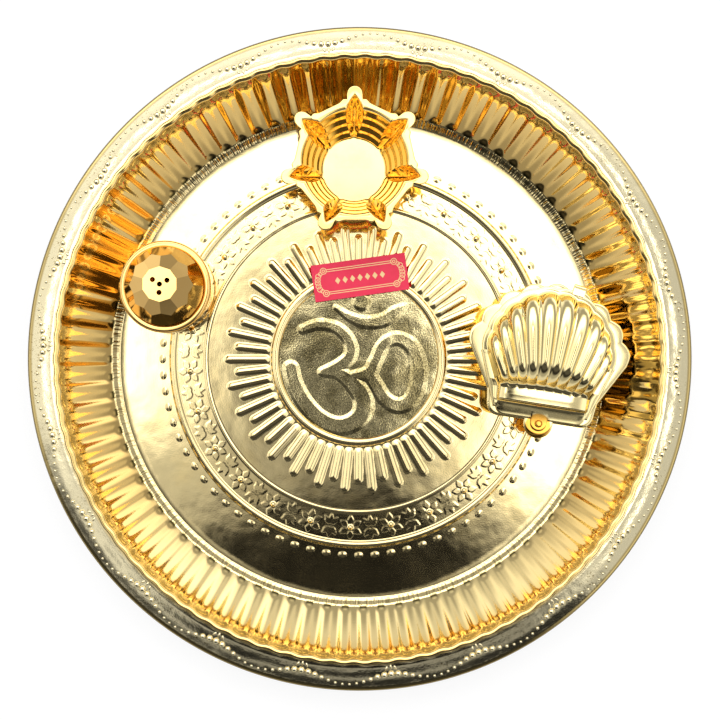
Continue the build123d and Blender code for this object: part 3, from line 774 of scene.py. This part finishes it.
def lobed_outline():
    """The lobed front of the rim, its waist and its straight back."""
    outline = []
    for angle in np.radians(np.linspace(lobe_start, 180 - lobe_start, 163)):
        lobe = abs(math.sin((angle - math.radians(lobe_start)) * lobe_repeat))
        outline.append(polar_point(lobe_notch + (lobe_tip - lobe_notch) * lobe, angle))
    outline += [(-shell_waist[0], shell_waist[1]), (-shell_back[0], shell_back[1])]
    outline += arc_line((-shell_corner[0], shell_corner[1]), shell_corner_radius, 180, 270, 6)
    outline += arc_line(shell_corner, shell_corner_radius, 270, 360, 6)
    return outline + [shell_back, shell_waist]


def bowl_outline(inset):
    """The round-fronted outline of the bowl, drawn in by an inset."""
    half = shelf_half - inset
    back = shelf_back_y + inset
    return arc_line(lid_front, lid_front_radius - inset, -5, 185, 60) + [(-half, back), (half, back)]


rim_reach = reach_of(lobed_outline())
ear_side = np.abs(rivet_y * np.cos(base_angles))
ear_far = rivet_y * np.sin(base_angles) + np.sqrt(np.clip(ear_radius**2 - ear_side**2, 0, None))
on_ear = (ear_side < ear_radius) & (np.sin(base_angles) < 0)
rim_reach = np.where(on_ear, np.maximum(rim_reach, ear_far), rim_reach)
mouth_reach = reach_of(bowl_outline(mouth_inset))
foot_reach = reach_of(bowl_outline(foot_inset))

# %% The lower half with its lobed rim
bowl_floor_z = shell_base_z + shell_sheet
bowl_depth = 9.9
bowl_flat_inset = 0.6
bowl_round = (0.3, 0.5)
under_mouth = 1.0
under_foot = (0.7, 0.4)
mouth_steps = ((0.1, 0.25), (0.5, 0))
rim_edge_steps = ((0.5, 0.02), (0.16, 0.12), (0, 0.32), (0.05, shell_sheet))
base_line = [(reach, bowl_floor_z) for reach in (0, foot_reach * 0.6, foot_reach - bowl_flat_inset)]
base_line.append((foot_reach + bowl_round[0], bowl_floor_z + bowl_round[1]))
for share in (0.3, 0.6, 0.9):
    base_line.append((foot_reach + (mouth_reach - foot_reach) * share, bowl_floor_z + bowl_depth * share))
base_line += [(mouth_reach + out, shell_rim_z - drop) for out, drop in mouth_steps]
for share in (0.3, 0.6, 0.85):
    base_line.append((mouth_reach + (rim_reach - mouth_reach) * share, shell_rim_z))
base_line += [(rim_reach - inset, shell_rim_z - drop) for inset, drop in rim_edge_steps]
base_line.append((mouth_reach + under_mouth, shell_rim_z - shell_sheet))
base_line.append((foot_reach + under_foot[0], shell_base_z + under_foot[1]))
base_line += [(foot_reach, shell_base_z), (0, shell_base_z)]
base_rows = in_shell(turned_rows(base_line, base_angles))
shell_bowl = add_rows("shell_bowl", base_rows, "shell_box", "shell_base", crease=70)

# %% The outline and the arch of the lid's ribs
rib_count = 10
rib_columns = 14
rib_pitch = 19
rib_bulge = 0.21
rib_rounding = 0.05
rib_scallop = 0.9
rib_back_y = -10.0
rib_back_half = 17.0
rib_fall_share = 0.62
lid_rise = 9.7
lid_brim = 2.0
lid_back_y = -20.6
lid_back_half = 17.5
lid_corner = 3.4
lid_corner_share = 0.96
lid_ear = 3.0
brim_top = lid_z + shell_sheet

rib_at = np.linspace(0, rib_count, rib_count * rib_columns + 1)
rib_bend = (0.25 + rib_bulge**2) / (2 * rib_bulge)
rib_near = np.linspace(-rib_rounding, rib_rounding, 9)[:, None]
rib_off = (rib_at + rib_near) % 1 - 0.5
rib_arch = (np.sqrt(rib_bend**2 - rib_off**2) - rib_bend + rib_bulge).mean(axis=0)
rib_arch = (rib_arch - rib_arch.min()) / (rib_arch.max() - rib_arch.min())
rib_side = np.abs(rib_at / rib_count * 2 - 1)
rib_level = 1 - rib_fall_share * rib_side**3.2
front_angle = np.radians(90 + rib_pitch * (rib_count / 2 - rib_at))
front_reach = lid_front_radius - rib_scallop * (1 - rib_arch)
front_x, front_y = polar_point(front_reach, front_angle, lid_front)
rib_x = rib_back_half * (2 * rib_at / rib_count - 1)
rib_width_back = 2 * rib_back_half / rib_count
rib_width_front = math.radians(rib_pitch) * lid_front_radius
back_x = rib_x * lid_back_half / rib_back_half
ear_half = np.clip(lid_ear**2 - rib_x**2, 0, None)
back_edge = np.where(ear_half > 0, np.minimum(lid_back_y, rivet_y - np.sqrt(ear_half)), lid_back_y)
corner_share = np.clip((np.abs(back_x) - lid_back_half + lid_corner) / lid_corner, 0, 1)
back_edge = back_edge + lid_corner * (1 - np.sqrt(1 - lid_corner_share * corner_share**2))

# %% The rows of the lid, from its ear over the shelf and the ribs to the brim
shelf_rise = 2.8
shelf_fall = 0.058
shelf_middle_y = -12.4
shelf_ys = (-14.0, shelf_middle_y, -10.9)
shelf_end_share = 0.3
apron_inset = 0.9
back_edge_steps = ((0, -shell_sheet), (0, -0.2), (0.15, -0.05), (0.5, 0), (0.9, 0))
apron_steps = ((0.7, 0.09), (0.4, 0.19), (0.1, 0.29))
shelf_steps = ((-0.5, 0.4), (-0.2, 0.9), (0.2, 2.2), (0.5, 2.7))
brim_steps = ((0.25, 0.05), (0.6, 0), (1.2, 0), (1.75, -0.02))
brim_steps += ((1.95, -0.12), (lid_brim, -0.3), (lid_brim, -shell_sheet))
brim_scallop = 0.45
rib_shares = [np.linspace(0, 0.3, 14), np.linspace(0.33, 0.8, 14), np.linspace(0.82, 1, 20) ** 0.8]
rib_lift = lid_rise - rib_bulge * rib_width_front / 2


def rib_profile(share):
    """The height of a rib along its length, from the shelf, over the crest, to the brim."""
    rise = ease(share, -0.02, 0.3) ** 0.6
    fall = np.sqrt(np.clip(1 - np.clip((share - 0.5) / 0.5, 0, 1) ** 2.6, 0, 1))
    return rise * fall


def lid_row(x, y, height):
    """One row of the lid's points, at a height above its brim."""
    return points_of(x, y, brim_top + height)


lid_rows = [lid_row(back_x, back_edge + inset, height) for inset, height in back_edge_steps]
apron_run = np.maximum(back_edge, lid_back_y) + 2 * apron_inset - shelf_back_y
for share, height in apron_steps:
    lid_rows.append(lid_row(back_x, shelf_back_y - apron_inset + apron_run * share, height))
shelf_level = 1 - shelf_end_share * rib_side**8
for offset, height in shelf_steps:
    lid_rows.append(lid_row(rib_x, shelf_back_y + offset, height * shelf_level))
for y in shelf_ys:
    lid_rows.append(lid_row(rib_x, y, (shelf_rise + shelf_fall * (y - shelf_middle_y)) * shelf_level))
for share in np.concatenate(rib_shares):
    crest = rib_profile(share)
    width = rib_width_back + (rib_width_front - rib_width_back) * share
    swell = rib_bulge * width * rib_arch * ease(share, 0, 0.12) * crest**0.5
    low = shelf_rise * shelf_level * (1 - ease(share, 0.2, 0.9))
    x = rib_x + (front_x - rib_x) * share
    y = rib_back_y + (front_y - rib_back_y) * share
    lid_rows.append(lid_row(x, y, np.maximum(rib_lift * rib_level * crest, low) + swell))
for out, height in brim_steps:
    reach = front_reach + out + brim_scallop * (1 - rib_arch) * min(out, 1)
    lid_rows.append(lid_row(*polar_point(reach, front_angle, lid_front), height))
lid_rows = np.array(lid_rows)

# %% The sides of the lid, and the lid as a thin sheet
side_front = (26.3, 3.2)
side_steps = ((0.12, None), (0.3, 0), (0.75, 0), (0.95, -0.02), (1, -0.2), (1, -shell_sheet))


def side_columns(edge, sign):
    """Columns of the brim beside an outermost rib, out to the side of the lid and over its edge."""
    front = np.array([sign * side_front[0], side_front[1]])
    back = np.array([sign * lid_back_half, lid_back_y])
    along = np.clip((edge[:, 1] - back[1]) / (front[1] - back[1]), 0, 1)
    outer = back + along[:, None] * (front - back)
    columns = []
    for share, drop in side_steps:
        place = edge[:, :2] + (outer - edge[:, :2]) * share
        level = (edge[:, 2] + brim_top) / 2 if drop is None else brim_top + drop
        level = np.minimum(level, np.maximum(edge[:, 2], lid_z))
        columns.append(np.column_stack([place, level]))
    return np.stack(columns, axis=1)


left_side = side_columns(lid_rows[:, 0], -1)[:, ::-1]
right_side = side_columns(lid_rows[:, -1], 1)
lid_grid = np.concatenate([left_side, lid_rows, right_side], axis=1)
lid_under = lid_grid.copy()
lid_under[..., 2] = np.maximum(lid_under[..., 2] - shell_sheet, lid_z)
lid_points = in_shell(np.stack([lid_grid, lid_under])).reshape(-1, 3)
lid_faces = row_quads(lid_grid.shape[0], lid_grid.shape[1], False)[:, ::-1]
lid_faces = np.concatenate([lid_faces, lid_faces[:, ::-1] + lid_grid.shape[0] * lid_grid.shape[1]])
shell_fan = add_piece("shell_fan", lid_points, lid_faces, "shell_cover", "shell_lid", crease=65)

# %% The rivet
rivet_base = rivet_low.z / MM
rivet_top = rivet_high.z / MM
rivet_pin = 0.8
rivet_head = 1.5
head_round = 1.0
head_centre = (rivet_head - head_round, rivet_top - 0.75)
head_foot = rivet_top - 0.9
tail_top = rivet_base + 0.7
tail_round = 0.6
rivet_line = [(0, rivet_top)] + arc_line(head_centre, head_round, 78, 0, 8)
rivet_line += [(rivet_head, head_foot), (rivet_pin, head_foot), (rivet_pin, tail_top), (rivet_head, tail_top)]
rivet_line += arc_line((rivet_head - tail_round, rivet_base + tail_round), tail_round, 0, -90, 6)
rivet_line.append((0, rivet_base))
rivet_rows = turned_rows(rivet_line, round_angles(48), rivet_centre)
shell_pin = add_rows("shell_pin", rivet_rows, "shell_box", "shell_rivet", crease=50)

# %% The folded catch, a strip bent along a line
catch_turn = math.radians(-8.4)
catch_off = 1.8
catch_gap = 0.25
catch_lift = 0.02
catch_half = 2.25
catch_fold = 0.6
catch_bend = 1.5
catch_foot = 3.0
catch_hook = 3.5
catch_wall = lid_front[1] + lid_front_radius + lid_brim - rivet_y + catch_off
catch_low = catch_lift - shell_sheet / 2
catch_high = lid_gap + shell_sheet + catch_gap + shell_sheet / 2
fold_at = catch_wall - catch_fold / 2
catch_line = [(catch_wall - catch_foot, catch_low), (catch_wall - catch_bend, catch_low)]
catch_line += arc_line((fold_at, catch_low + catch_fold), catch_fold, -90, 0, 7)
catch_line += arc_line((fold_at, catch_high - catch_fold), catch_fold, 0, 90, 7)
catch_line += [(catch_wall - catch_bend, catch_high), (catch_wall - catch_hook, catch_high)]
catch_line = np.array(catch_line)
catch_way = np.gradient(catch_line, axis=0)
catch_way = catch_way / np.linalg.norm(catch_way, axis=1, keepdims=True)
catch_out = np.stack([catch_way[:, 1], -catch_way[:, 0]], axis=-1) * shell_sheet / 2
catch_corners = []
for x, side in ((-catch_half, 1), (catch_half, 1), (catch_half, -1), (-catch_half, -1)):
    y, z = (catch_line + catch_out * side).T
    catch_corners.append(points_of(*turned(x, y, catch_turn, (0, rivet_y)), shell_rim_z + z))
catch_grid = np.stack(catch_corners, axis=1)
catch_ends = catch_grid[[0, -1]].mean(axis=1, keepdims=True).repeat(4, axis=1)
catch_grid = np.concatenate([catch_ends[:1], catch_grid, catch_ends[1:]])
shell_catch = add_rows("shell_catch", in_shell(catch_grid), "shell_box", crease=50)

# %% [markdown]
# ## The paper label
# A red paper label lies across the ring of the medallion, stuck down by its middle. Its ends stand off the
# floor a little. The sheet is a fine grid with a slight curl, and carries its own flat coordinates, so that
# the finish can draw a gold frame on it.

# %% The label's sheet
label_low, label_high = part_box("paper_label")
label_centre = ((label_low.x + label_high.x) / 2 / MM, (label_low.y + label_high.y) / 2 / MM)
label_size = (37.9, 14.7)
label_turn = math.radians(8)
label_paper = 0.2
label_lift = 0.12
label_curl = 0.5
label_wave = 0.12
label_columns = 96
label_rows = 38
label_z = label_low.z / MM + label_paper + label_lift
share_x, share_y = np.meshgrid(np.linspace(-0.5, 0.5, label_columns), np.linspace(-0.5, 0.5, label_rows))
curl = label_curl * np.abs(2 * share_x) ** 3 + label_wave * np.sin(9 * share_x + 3 * share_y)
label_x, label_y = turned(share_x * label_size[0], share_y * label_size[1], label_turn, label_centre)
label_top = points_of(label_x, label_y, label_z + curl).reshape(-1, 3)
label_points = np.concatenate([label_top, label_top - (0, 0, label_paper)])
below = len(label_top)
label_quads = row_quads(label_rows, label_columns, False)
index = np.arange(below).reshape(label_rows, label_columns)
border = np.concatenate([index[0, :-1], index[:-1, -1], index[-1, :0:-1], index[:0:-1, 0]])
following = np.roll(border, -1)
edge_quads = np.stack([border, border + below, following + below, following], axis=-1)
label_faces = np.concatenate([label_quads[:, ::-1], label_quads + below, edge_quads])
label_sheet = add_piece("label_sheet", label_points, label_faces, "thali", "paper_label")
label_shares = np.tile(np.stack([share_x, share_y], axis=-1).reshape(-1, 2) + 0.5, (2, 1))
flat_map = label_sheet.data.uv_layers.new(name="flat")
for loop in label_sheet.data.loops:
    flat_map.data[loop.index].uv = label_shares[loop.vertex_index]

# %% [markdown]
# ## Shader sums
# A finish is a sum of many small things: grain, waves, lines, wear. Writing the sums as Python expressions
# keeps them readable. This small class wraps a socket, so that `1 - mask` or `grain * 0.2 + waves` adds the
# Math nodes, and every other node comes from one method.

# %% A socket that can be added and multiplied
class Wire:
    """One output of a node tree. Sums on it add Math nodes to the tree."""

    def __init__(self, tree, socket=None):
        self.tree = tree
        self.socket = socket

    def node(self, kind, settings=None, inputs=None, out=0):
        """Adds a node, sets its settings, fills its sockets and gives one of its outputs."""
        made = self.tree.nodes.new(kind)
        for name, value in (settings or {}).items():
            setattr(made, name, value)
        for key, value in (inputs or {}).items():
            if isinstance(value, Wire):
                self.tree.links.new(value.socket, made.inputs[key])
            else:
                made.inputs[key].default_value = value
        return Wire(self.tree, made.outputs[out] if made.outputs else None)

    def math(self, operation, other=0.0, swap=False):
        """One Math node on this value and another."""
        first, second = (other, self) if swap else (self, other)
        return self.node("ShaderNodeMath", {"operation": operation}, {0: first, 1: second})

    def step(self, low, high):
        """A smooth step from 0 at the low value to 1 at the high value."""
        settings = {"interpolation_type": "SMOOTHSTEP"}
        return self.node("ShaderNodeMapRange", settings, {0: self, 1: low, 2: high})

    def __add__(self, other):
        return self.math("ADD", other)

    def __radd__(self, other):
        return self.math("ADD", other, True)

    def __sub__(self, other):
        return self.math("SUBTRACT", other)

    def __rsub__(self, other):
        return self.math("SUBTRACT", other, True)

    def __mul__(self, other):
        return self.math("MULTIPLY", other)

    def __rmul__(self, other):
        return self.math("MULTIPLY", other, True)

    def __truediv__(self, other):
        return self.math("DIVIDE", other)

    def __rtruediv__(self, other):
        return self.math("DIVIDE", other, True)


# %% Helpers for the finishes
def axes_of(vector):
    """The x, y and z of a vector, as three wires."""
    parts = vector.node("ShaderNodeSeparateXYZ", None, {0: vector})
    return [Wire(parts.tree, socket) for socket in parts.socket.node.outputs]


def length_of(x, y):
    """The length of a flat step."""
    return (x * x + y * y).math("SQRT")


def noise(place, scale, detail, roughness=0.5):
    """Cloudy noise at a place, from 0 to 1."""
    inputs = {"Vector": place, "Scale": scale, "Detail": detail, "Roughness": roughness}
    return place.node("ShaderNodeTexNoise", None, inputs)


def polar_noise(across, around, detail):
    """Noise over a radius and an angle, which draws lines round a centre or out from it."""
    return noise(across.node("ShaderNodeCombineXYZ", None, {0: across, 1: around, 2: 0.0}), 1.0, detail)


def blend(share, first, second):
    """A colour between two others, which are wires or plain colours."""
    sockets = {0: share}
    for key, colour in ((6, first), (7, second)):
        sockets[key] = colour if isinstance(colour, Wire) else (*colour, 1)
    return share.node("ShaderNodeMix", {"data_type": "RGBA"}, sockets, out=2)


def new_finish(name):
    """An empty material, its Principled shader and a wire to start sums from."""
    finish = bpy.data.materials.new(name)
    finish.use_nodes = True
    return finish, finish.node_tree.nodes["Principled BSDF"], Wire(finish.node_tree)


def feed(shader, tint, roughness, height):
    """Feeds a Principled shader with a colour, a roughness and a height in mm."""
    bump = height.node("ShaderNodeBump", None, {"Strength": 1.0, "Distance": MM, "Height": height})
    for name, value in (("Base Color", tint), ("Roughness", roughness), ("Normal", bump)):
        value.tree.links.new(value.socket, shader.inputs[name])


def dress(finish, *pieces):
    """Gives pieces a finish, in place of what they had."""
    for piece in pieces:
        piece.data.materials.clear()
        piece.data.materials.append(finish)


# %% [markdown]
# ## Brass
# Polished brass is a mirror with a warm tint. Its detail is in what disturbs the mirror: soft waves from the
# press, a fine grain, polishing lines and patches that are slightly duller. All of these are worked out from
# the place of a point in the object, so they stay put when a part moves. The wall of the plate has more to
# show: radial marks at its foot, a pale rim with dark specks, and painted light: painted orange reflections
# in the flutes and at their tops, and painted shade at the feet of the hollows, on the near side and along
# the rolled edge. The shell carries a painted orange reflection round its rivet.

# %% The looks of the plate's wall
# Painted light among these tints: the tint of the flutes and the tint of the wall's top are painted orange
# reflections; the tints of the near side, the rolled edge and the hollows' feet are painted shade; the tint
# round the rivet is a painted reflection.
flute_reflection_tint = (0.95, 0.75, 0.35)
near_shade_tint = (0.83, 0.57, 0.20)
top_reflection_tint = (0.93, 0.66, 0.24)
comb_tint = (0.40, 0.31, 0.13)
rim_tint = (0.94, 0.83, 0.53)
edge_shade_tint = (0.55, 0.42, 0.17)
speck_tint = (0.40, 0.29, 0.12)
tip_shade_tint = (0.05, 0.04, 0.01)
stain_tint = (0.16, 0.12, 0.04)
rivet_reflection_tint = (0.70, 0.36, 0.06)
wall_zone = (-1, 0)
foot_end = (1.8, 2.6)
tip_start = (2, 2.5)
tip_end = (2.6, 4)
flute_zone = (2, 3)
top_zone = (12, 17)
rim_zone = (20, 22)
edge_zone = (28.6, 29.4)
mark_depth = 0.4
rim_wave = 0.07
wall_calm = 0.8


def wall_looks(radius, angle, front, wave, fine, patch, waves):
    """The heights that the wall adds, and its tints, each with a mask. Most tints are painted reflections and
    painted shade. The waves are calmer on the wall.
    """

    def outside(zone):
        """A mask that rises across a zone, given by two distances outside the floor in mm."""
        return radius.step((floor_radius + zone[0]) * MM, (floor_radius + zone[1]) * MM)

    wall = outside(wall_zone)
    foot = wall * (1 - outside(foot_end))
    rim = outside(rim_zone)
    marks = polar_noise(radius * 120, angle * 130, 1.0)
    height = marks * (foot * mark_depth) - wave * (wall * waves * wall_calm)
    height = height + (patch + wave) * (rim * rim_wave)
    flutes = outside(flute_zone) * (1 - rim)
    hollow = ((angle * flute_count).math("COSINE") * -1).step(0.0, 0.6)
    tints = [
        # Painted reflection: the whole band of flutes is tinted a deeper orange brass.
        (flutes, flute_reflection_tint),
        # Painted shade: flutes on the near side, where y is negative, are tinted a darker brass.
        (flutes * front.step(-0.9, -0.45), near_shade_tint),
        # Painted reflection: the upper part of the wall is tinted orange.
        (outside(top_zone) * (1 - rim), top_reflection_tint),
        (foot * marks.step(0.52, 0.62) * 0.7, comb_tint),
        (rim, rim_tint),
        # Painted shade along the rolled edge: a brown band.
        (outside(edge_zone), edge_shade_tint),
        (rim * fine.step(0.6, 0.7) * patch.step(0.45, 0.6), speck_tint),
        # Painted shade: the foot of each hollow is near black.
        (hollow * outside(tip_start) * (1 - outside(tip_end)), tip_shade_tint),
    ]
    return height, tints


# %% A brass finish
# How the painted orange reflection round the rivet fades, in metres.
rivet_reflection_fade = (4.6 * MM, 5.4 * MM)


def brass(name, bright, warm, roughness, waves, grain, spin=None, walled=False, reflection_spot=None, stains=0):
    """Polished brass. Waves and grain are heights in mm, and spin is the centre of polishing lines in mm.

    A walled finish has the looks of the plate's wall. A place given for a painted reflection, in mm, gets a
    disc of darker orange brass round it. Stains are fine dark specks.
    """
    finish, shader, wire = new_finish(name)
    place = wire.node("ShaderNodeTexCoord", out="Object")
    wave = noise(place, 95.0, 2.0, 0.4)
    fine = noise(place, 1700.0, 2.0)
    patch = noise(place, 60.0, 5.0, 0.65)
    height = wave * waves + fine * grain
    tints = []
    if spin is not None:
        centre = (spin[0] * MM, spin[1] * MM, 0)
        x, y, z = axes_of(wire.node("ShaderNodeVectorMath", {"operation": "SUBTRACT"}, {0: place, 1: centre}))
        radius = length_of(x, y)
        angle = y.math("ARCTAN2", x)
        height = height + polar_noise(radius * 900, angle * 1.6, 2.0) * (grain * 0.6)
    if walled:
        wall_height, tints = wall_looks(radius, angle, y / radius, wave, fine, patch, waves)
        height = height + wall_height
    if stains:
        tints.append(((fine.step(0.48, 0.56) + patch.step(0.48, 0.56)) * (stains / 2), stain_tint))
    # Painted reflection: a disc of darker orange round a given spot.
    if reflection_spot is not None:
        spot = tuple(part * MM for part in reflection_spot)
        reach = wire.node("ShaderNodeVectorMath", {"operation": "DISTANCE"}, {0: place, 1: spot}, out=1)
        tints.append((1 - reach.step(*rivet_reflection_fade), rivet_reflection_tint))
    tint = blend(patch.step(0.42, 0.72), bright, warm)
    for mask, colour in tints:
        tint = blend(mask, tint, colour)
    feed(shader, tint, patch * 0.09 + (roughness - 0.045), height)
    shader.inputs["Metallic"].default_value = 1.0
    return finish


# %% The brass of each part
# The painted orange reflection on the shell's ear sits just behind the rivet.
reflection_spot_behind = 1.0
rivet_spot = (*turned(0, -reflection_spot_behind, shell_tilt, rivet_centre), shell_rim_z)
plate_finish = brass(
    "plate_brass", (0.95, 0.77, 0.39), (0.93, 0.73, 0.34), 0.08, 0.09, 0.005, (0, 0), walled=True
)
emblem_finish = brass("emblem_brass", (0.95, 0.80, 0.42), (0.80, 0.66, 0.31), 0.09, 0.22, 0.03, stains=0.8)
lamp_finish = brass("lamp_brass", (0.95, 0.69, 0.25), (0.94, 0.65, 0.21), 0.07, 0.02, 0.001, star_centre)
stand_finish = brass("stand_brass", (0.90, 0.58, 0.20), (0.88, 0.54, 0.17), 0.07, 0.02, 0.0008, cup_centre)
shell_finish = brass(
    "shell_brass", (0.95, 0.79, 0.40), (0.93, 0.75, 0.35), 0.08, 0.05, 0.0016, reflection_spot=rivet_spot
)
dress(plate_finish, plate_wall, plate_edge, plate_band, plate_rays, plate_under, plate_swags, plate_pearls)
dress(emblem_finish, plate_emblem)
dress(lamp_finish, star_lamp)
dress(stand_finish, stand_drum, stand_gem)
dress(shell_finish, shell_bowl, shell_fan, shell_pin, shell_catch)
print("brass finishes:", [finish.name for finish in bpy.data.materials if "brass" in finish.name])

# %% [markdown]
# ## Printed paper
# The label is coated red paper, printed with plain gold ornament: two double lines, rings at the ends and a
# row of lozenges. The print is drawn from the sheet's flat coordinates as distances to lines and circles.

# %% The label's print
print_half = 0.15
bar_heights = (4.9, 4.1)
bar_reach = 13.2
bar_end = 0.3
rings = [(14.2, 4.5, 1.2), (14.2, 4.5, 0.5), (16.5, 2.6, 1.0)]
rings += [(16.9, 1.3, 1.0), (17.0, 0.0, 1.0), (15.6, 3.4, 0.7)]
lozenge_pitch = 1.5
lozenge_slope = 0.75
lozenge_edge = (0.95, 1.15)
lozenge_reach = (10.4, 10.6)
label_finish, label_shader, wire = new_finish("label_print")
flat_x, flat_y, flat_z = axes_of(wire.node("ShaderNodeTexCoord", out="UV"))
along = (flat_x - 0.5) * label_size[0]
along_side = along.math("ABSOLUTE")
up_side = ((flat_y - 0.5) * label_size[1]).math("ABSOLUTE")


def pen_line(distance):
    """A printed line where a distance is near zero, as a mask."""
    return 1 - distance.math("ABSOLUTE").step(print_half * 0.6, print_half * 1.4)


lozenge = along.math("PINGPONG", lozenge_pitch) + up_side * lozenge_slope
gold_print = (1 - lozenge.step(*lozenge_edge)) * (1 - along_side.step(*lozenge_reach))
for height in bar_heights:
    bar = pen_line(up_side - height) * (1 - along_side.step(bar_reach, bar_reach + bar_end))
    gold_print = gold_print.math("MAXIMUM", bar)
for x, y, radius in rings:
    ring = pen_line(length_of(along_side - x, up_side - y) - radius)
    gold_print = gold_print.math("MAXIMUM", ring)

# %% The label's paper
paper_place = wire.node("ShaderNodeTexCoord", out="Object")
fibre = noise(paper_place, 2200.0, 3.0)
cloud = noise(paper_place, 140.0, 3.0)
red = blend(cloud.step(0.35, 0.7), (0.82, 0.018, 0.075), (0.78, 0.015, 0.062))
ink = blend(gold_print * 0.9, red, (0.88, 0.66, 0.30))
feed(label_shader, ink, 0.5 - gold_print * 0.15 + fibre * 0.08, fibre * 0.006)
dress(label_finish, label_sheet)
print("label finish:", label_finish.name)

# %% [markdown]
# ## Light
# Brass shows its surroundings, so the light is a plain white studio made in the world: a pale tent with a
# bright low belt, a brighter panel straight above, a lit far wall with bright corners, and a dark gap on the
# near side, where a photographer would stand. Lamps alone would do, but their outlines would show in the
# mirror of the floor. One soft lamp lights the paper, and the camera itself sees plain white.

# %% Where a look meets the ceiling of the studio
ceiling_height = 450
camera_side = -10
camera_near = -2.5
least_rise = 0.03
zenith_near = 5
scene = bpy.context.scene
scene.view_settings.view_transform = "Standard"
studio = bpy.data.worlds.new("studio")
scene.world = studio
studio.use_nodes = True
studio.node_tree.nodes.clear()
wire = Wire(studio.node_tree)
east, north, rise = axes_of(wire.node("ShaderNodeTexCoord", out="Generated"))
height = rise.math("MAXIMUM", least_rise)
ceiling_x = east / height * ceiling_height
ceiling_y = north / height * ceiling_height
zenith = length_of(ceiling_x, ceiling_y + zenith_near)
over_plate = length_of(ceiling_x + camera_side, ceiling_y + camera_near)
flat = length_of(east, north) + 0.001
far = north / flat

# %% The panel above and the dark gap beside it, in mm on the ceiling
panel_hole = (32, 98)
panel_edge = (99, 113)
panel_near = (-40, -8)
panel_skew = 0.35
gap_tilt = 0.25
gap_start = (36, 58)
gap_left = (-80, -45)
gap_slant = 1.5
gap_right = (-56, -21)
gap_end = (160, 230)
side_start = (95, 140)
strip_start = (104, 112)
strip_end = (128, 138)
strip_light = 0.32
past_panel = over_plate.step(*panel_edge)
panel = zenith.step(*panel_hole) * (1 - past_panel)
panel = panel * (ceiling_y + panel_skew * ceiling_x.math("MAXIMUM", 0.0)).step(*panel_near)
gap_top = (gap_tilt * ceiling_x - ceiling_y).step(*gap_start) * ceiling_x.step(*gap_left)
gap_top = gap_top * (1 - (ceiling_x + ceiling_y * gap_slant).step(*gap_right)) * (1 - zenith.step(*gap_end))
gap_top = gap_top * (1 - strip_light * zenith.step(*strip_start) * (1 - zenith.step(*strip_end)))
gap_side = ((east * -0.26 - north * 0.97) / flat).step(0.4, 0.7)
gap_side = gap_side * rise.step(0.3, 0.44) * zenith.step(*side_start)
gap = gap_top.math("MAXIMUM", gap_side * 0.95)

# %% The tent round it all
belt_level = 0.8
belt_loss = 0.38
upper_level = 0.9
overhead_loss = 0.7
left_level = 0.34
far_level = 1.7
corner_level = 0.95
west_corner_share = 0.4
camera_loss = 0.52
panel_level = 2.6
overhead_end = (150, 330)
left_end = (60, 120)
far_start = (120, 250)
camera_end = (14, 62)
overhead = 1 - zenith.step(*overhead_end)
tent = belt_level - belt_loss * rise.step(0.13, 0.25)
tent = tent + upper_level * rise.step(0.5, 0.65) - overhead_loss * overhead
tent = tent + left_level * (1 - ceiling_x.step(*left_end)) * overhead * past_panel
tent = tent + far_level * far.step(0.3, 0.8) * rise.step(0.58, 0.72) * zenith.step(*far_start)
corner = east * north / (flat * flat)
corner = corner.step(0.2, 0.45) + west_corner_share * (0 - corner).step(0.2, 0.45)
tent = tent + corner_level * corner * far.step(0.1, 0.5) * (1 - rise.step(0.2, 0.4))
tent = tent - camera_loss * (1 - zenith.step(*camera_end)) + panel_level * panel
seen = wire.node("ShaderNodeLightPath", out="Is Camera Ray")
strength = tent * (1 - 0.98 * gap) * (1 - seen) + seen
background = wire.node("ShaderNodeBackground", None, {0: (1, 1, 1, 1), 1: strength})
wire.node("ShaderNodeOutputWorld", None, {0: background})
print("world:", scene.world.name)

# %% A soft lamp for what isn't a mirror
lamp_data = bpy.data.lights.new("fill", "SUN")
lamp_data.energy = 0.5
lamp_data.angle = math.radians(70)
lamp = bpy.data.objects.new("fill", lamp_data)
lamp.rotation_euler = (math.radians(-18), math.radians(-14), 0)
lamp.visible_glossy = False
scene.collection.objects.link(lamp)

# %% The floor
floor_half = 1.5
floor_drop = -0.0002
floor_mesh = bpy.data.meshes.new("floor")
corners = [(x * floor_half, y * floor_half, floor_drop) for x, y in ((-1, -1), (1, -1), (1, 1), (-1, 1))]
floor_mesh.from_pydata(corners, [], [(0, 1, 2, 3)])
floor = bpy.data.objects.new("floor", floor_mesh)
scene.collection.objects.link(floor)
floor_finish = bpy.data.materials.new("floor_white")
floor_finish.use_nodes = True
floor_finish.node_tree.nodes.clear()
wire = Wire(floor_finish.node_tree)
matt = wire.node("ShaderNodeBsdfDiffuse", None, {"Color": (0.35, 0.35, 0.35, 1)})
paper = wire.node("ShaderNodeBsdfDiffuse", None, {"Color": (0.9, 0.9, 0.9, 1)})
glow = wire.node("ShaderNodeEmission", None, {"Color": (1, 1, 1, 1), "Strength": 1.05})
white = wire.node("ShaderNodeMixShader", None, {0: 0.8, 1: paper, 2: glow})
path = wire.node("ShaderNodeLightPath", out="Is Camera Ray")
mixed = wire.node("ShaderNodeMixShader", None, {0: path, 1: matt, 2: white})
wire.node("ShaderNodeOutputMaterial", None, {0: mixed})
dress(floor_finish, floor)
print("floor:", floor.name)

# %% [markdown]
# ## Camera
# The camera hangs above the plate, a little left of its middle, and looks straight down. Shifting the picture
# instead of tilting the camera keeps circles round.

# %% The camera
camera_data = bpy.data.cameras.new("camera")
camera_data.sensor_width = 36
camera_data.lens = 56.14
camera_data.shift_x = 0.0367
camera_data.shift_y = 0.0075
camera = bpy.data.objects.new("camera", camera_data)
camera.location = Vector((camera_side, camera_near, ceiling_height)) * MM
scene.collection.objects.link(camera)
scene.camera = camera
print("camera:", list(camera.location))
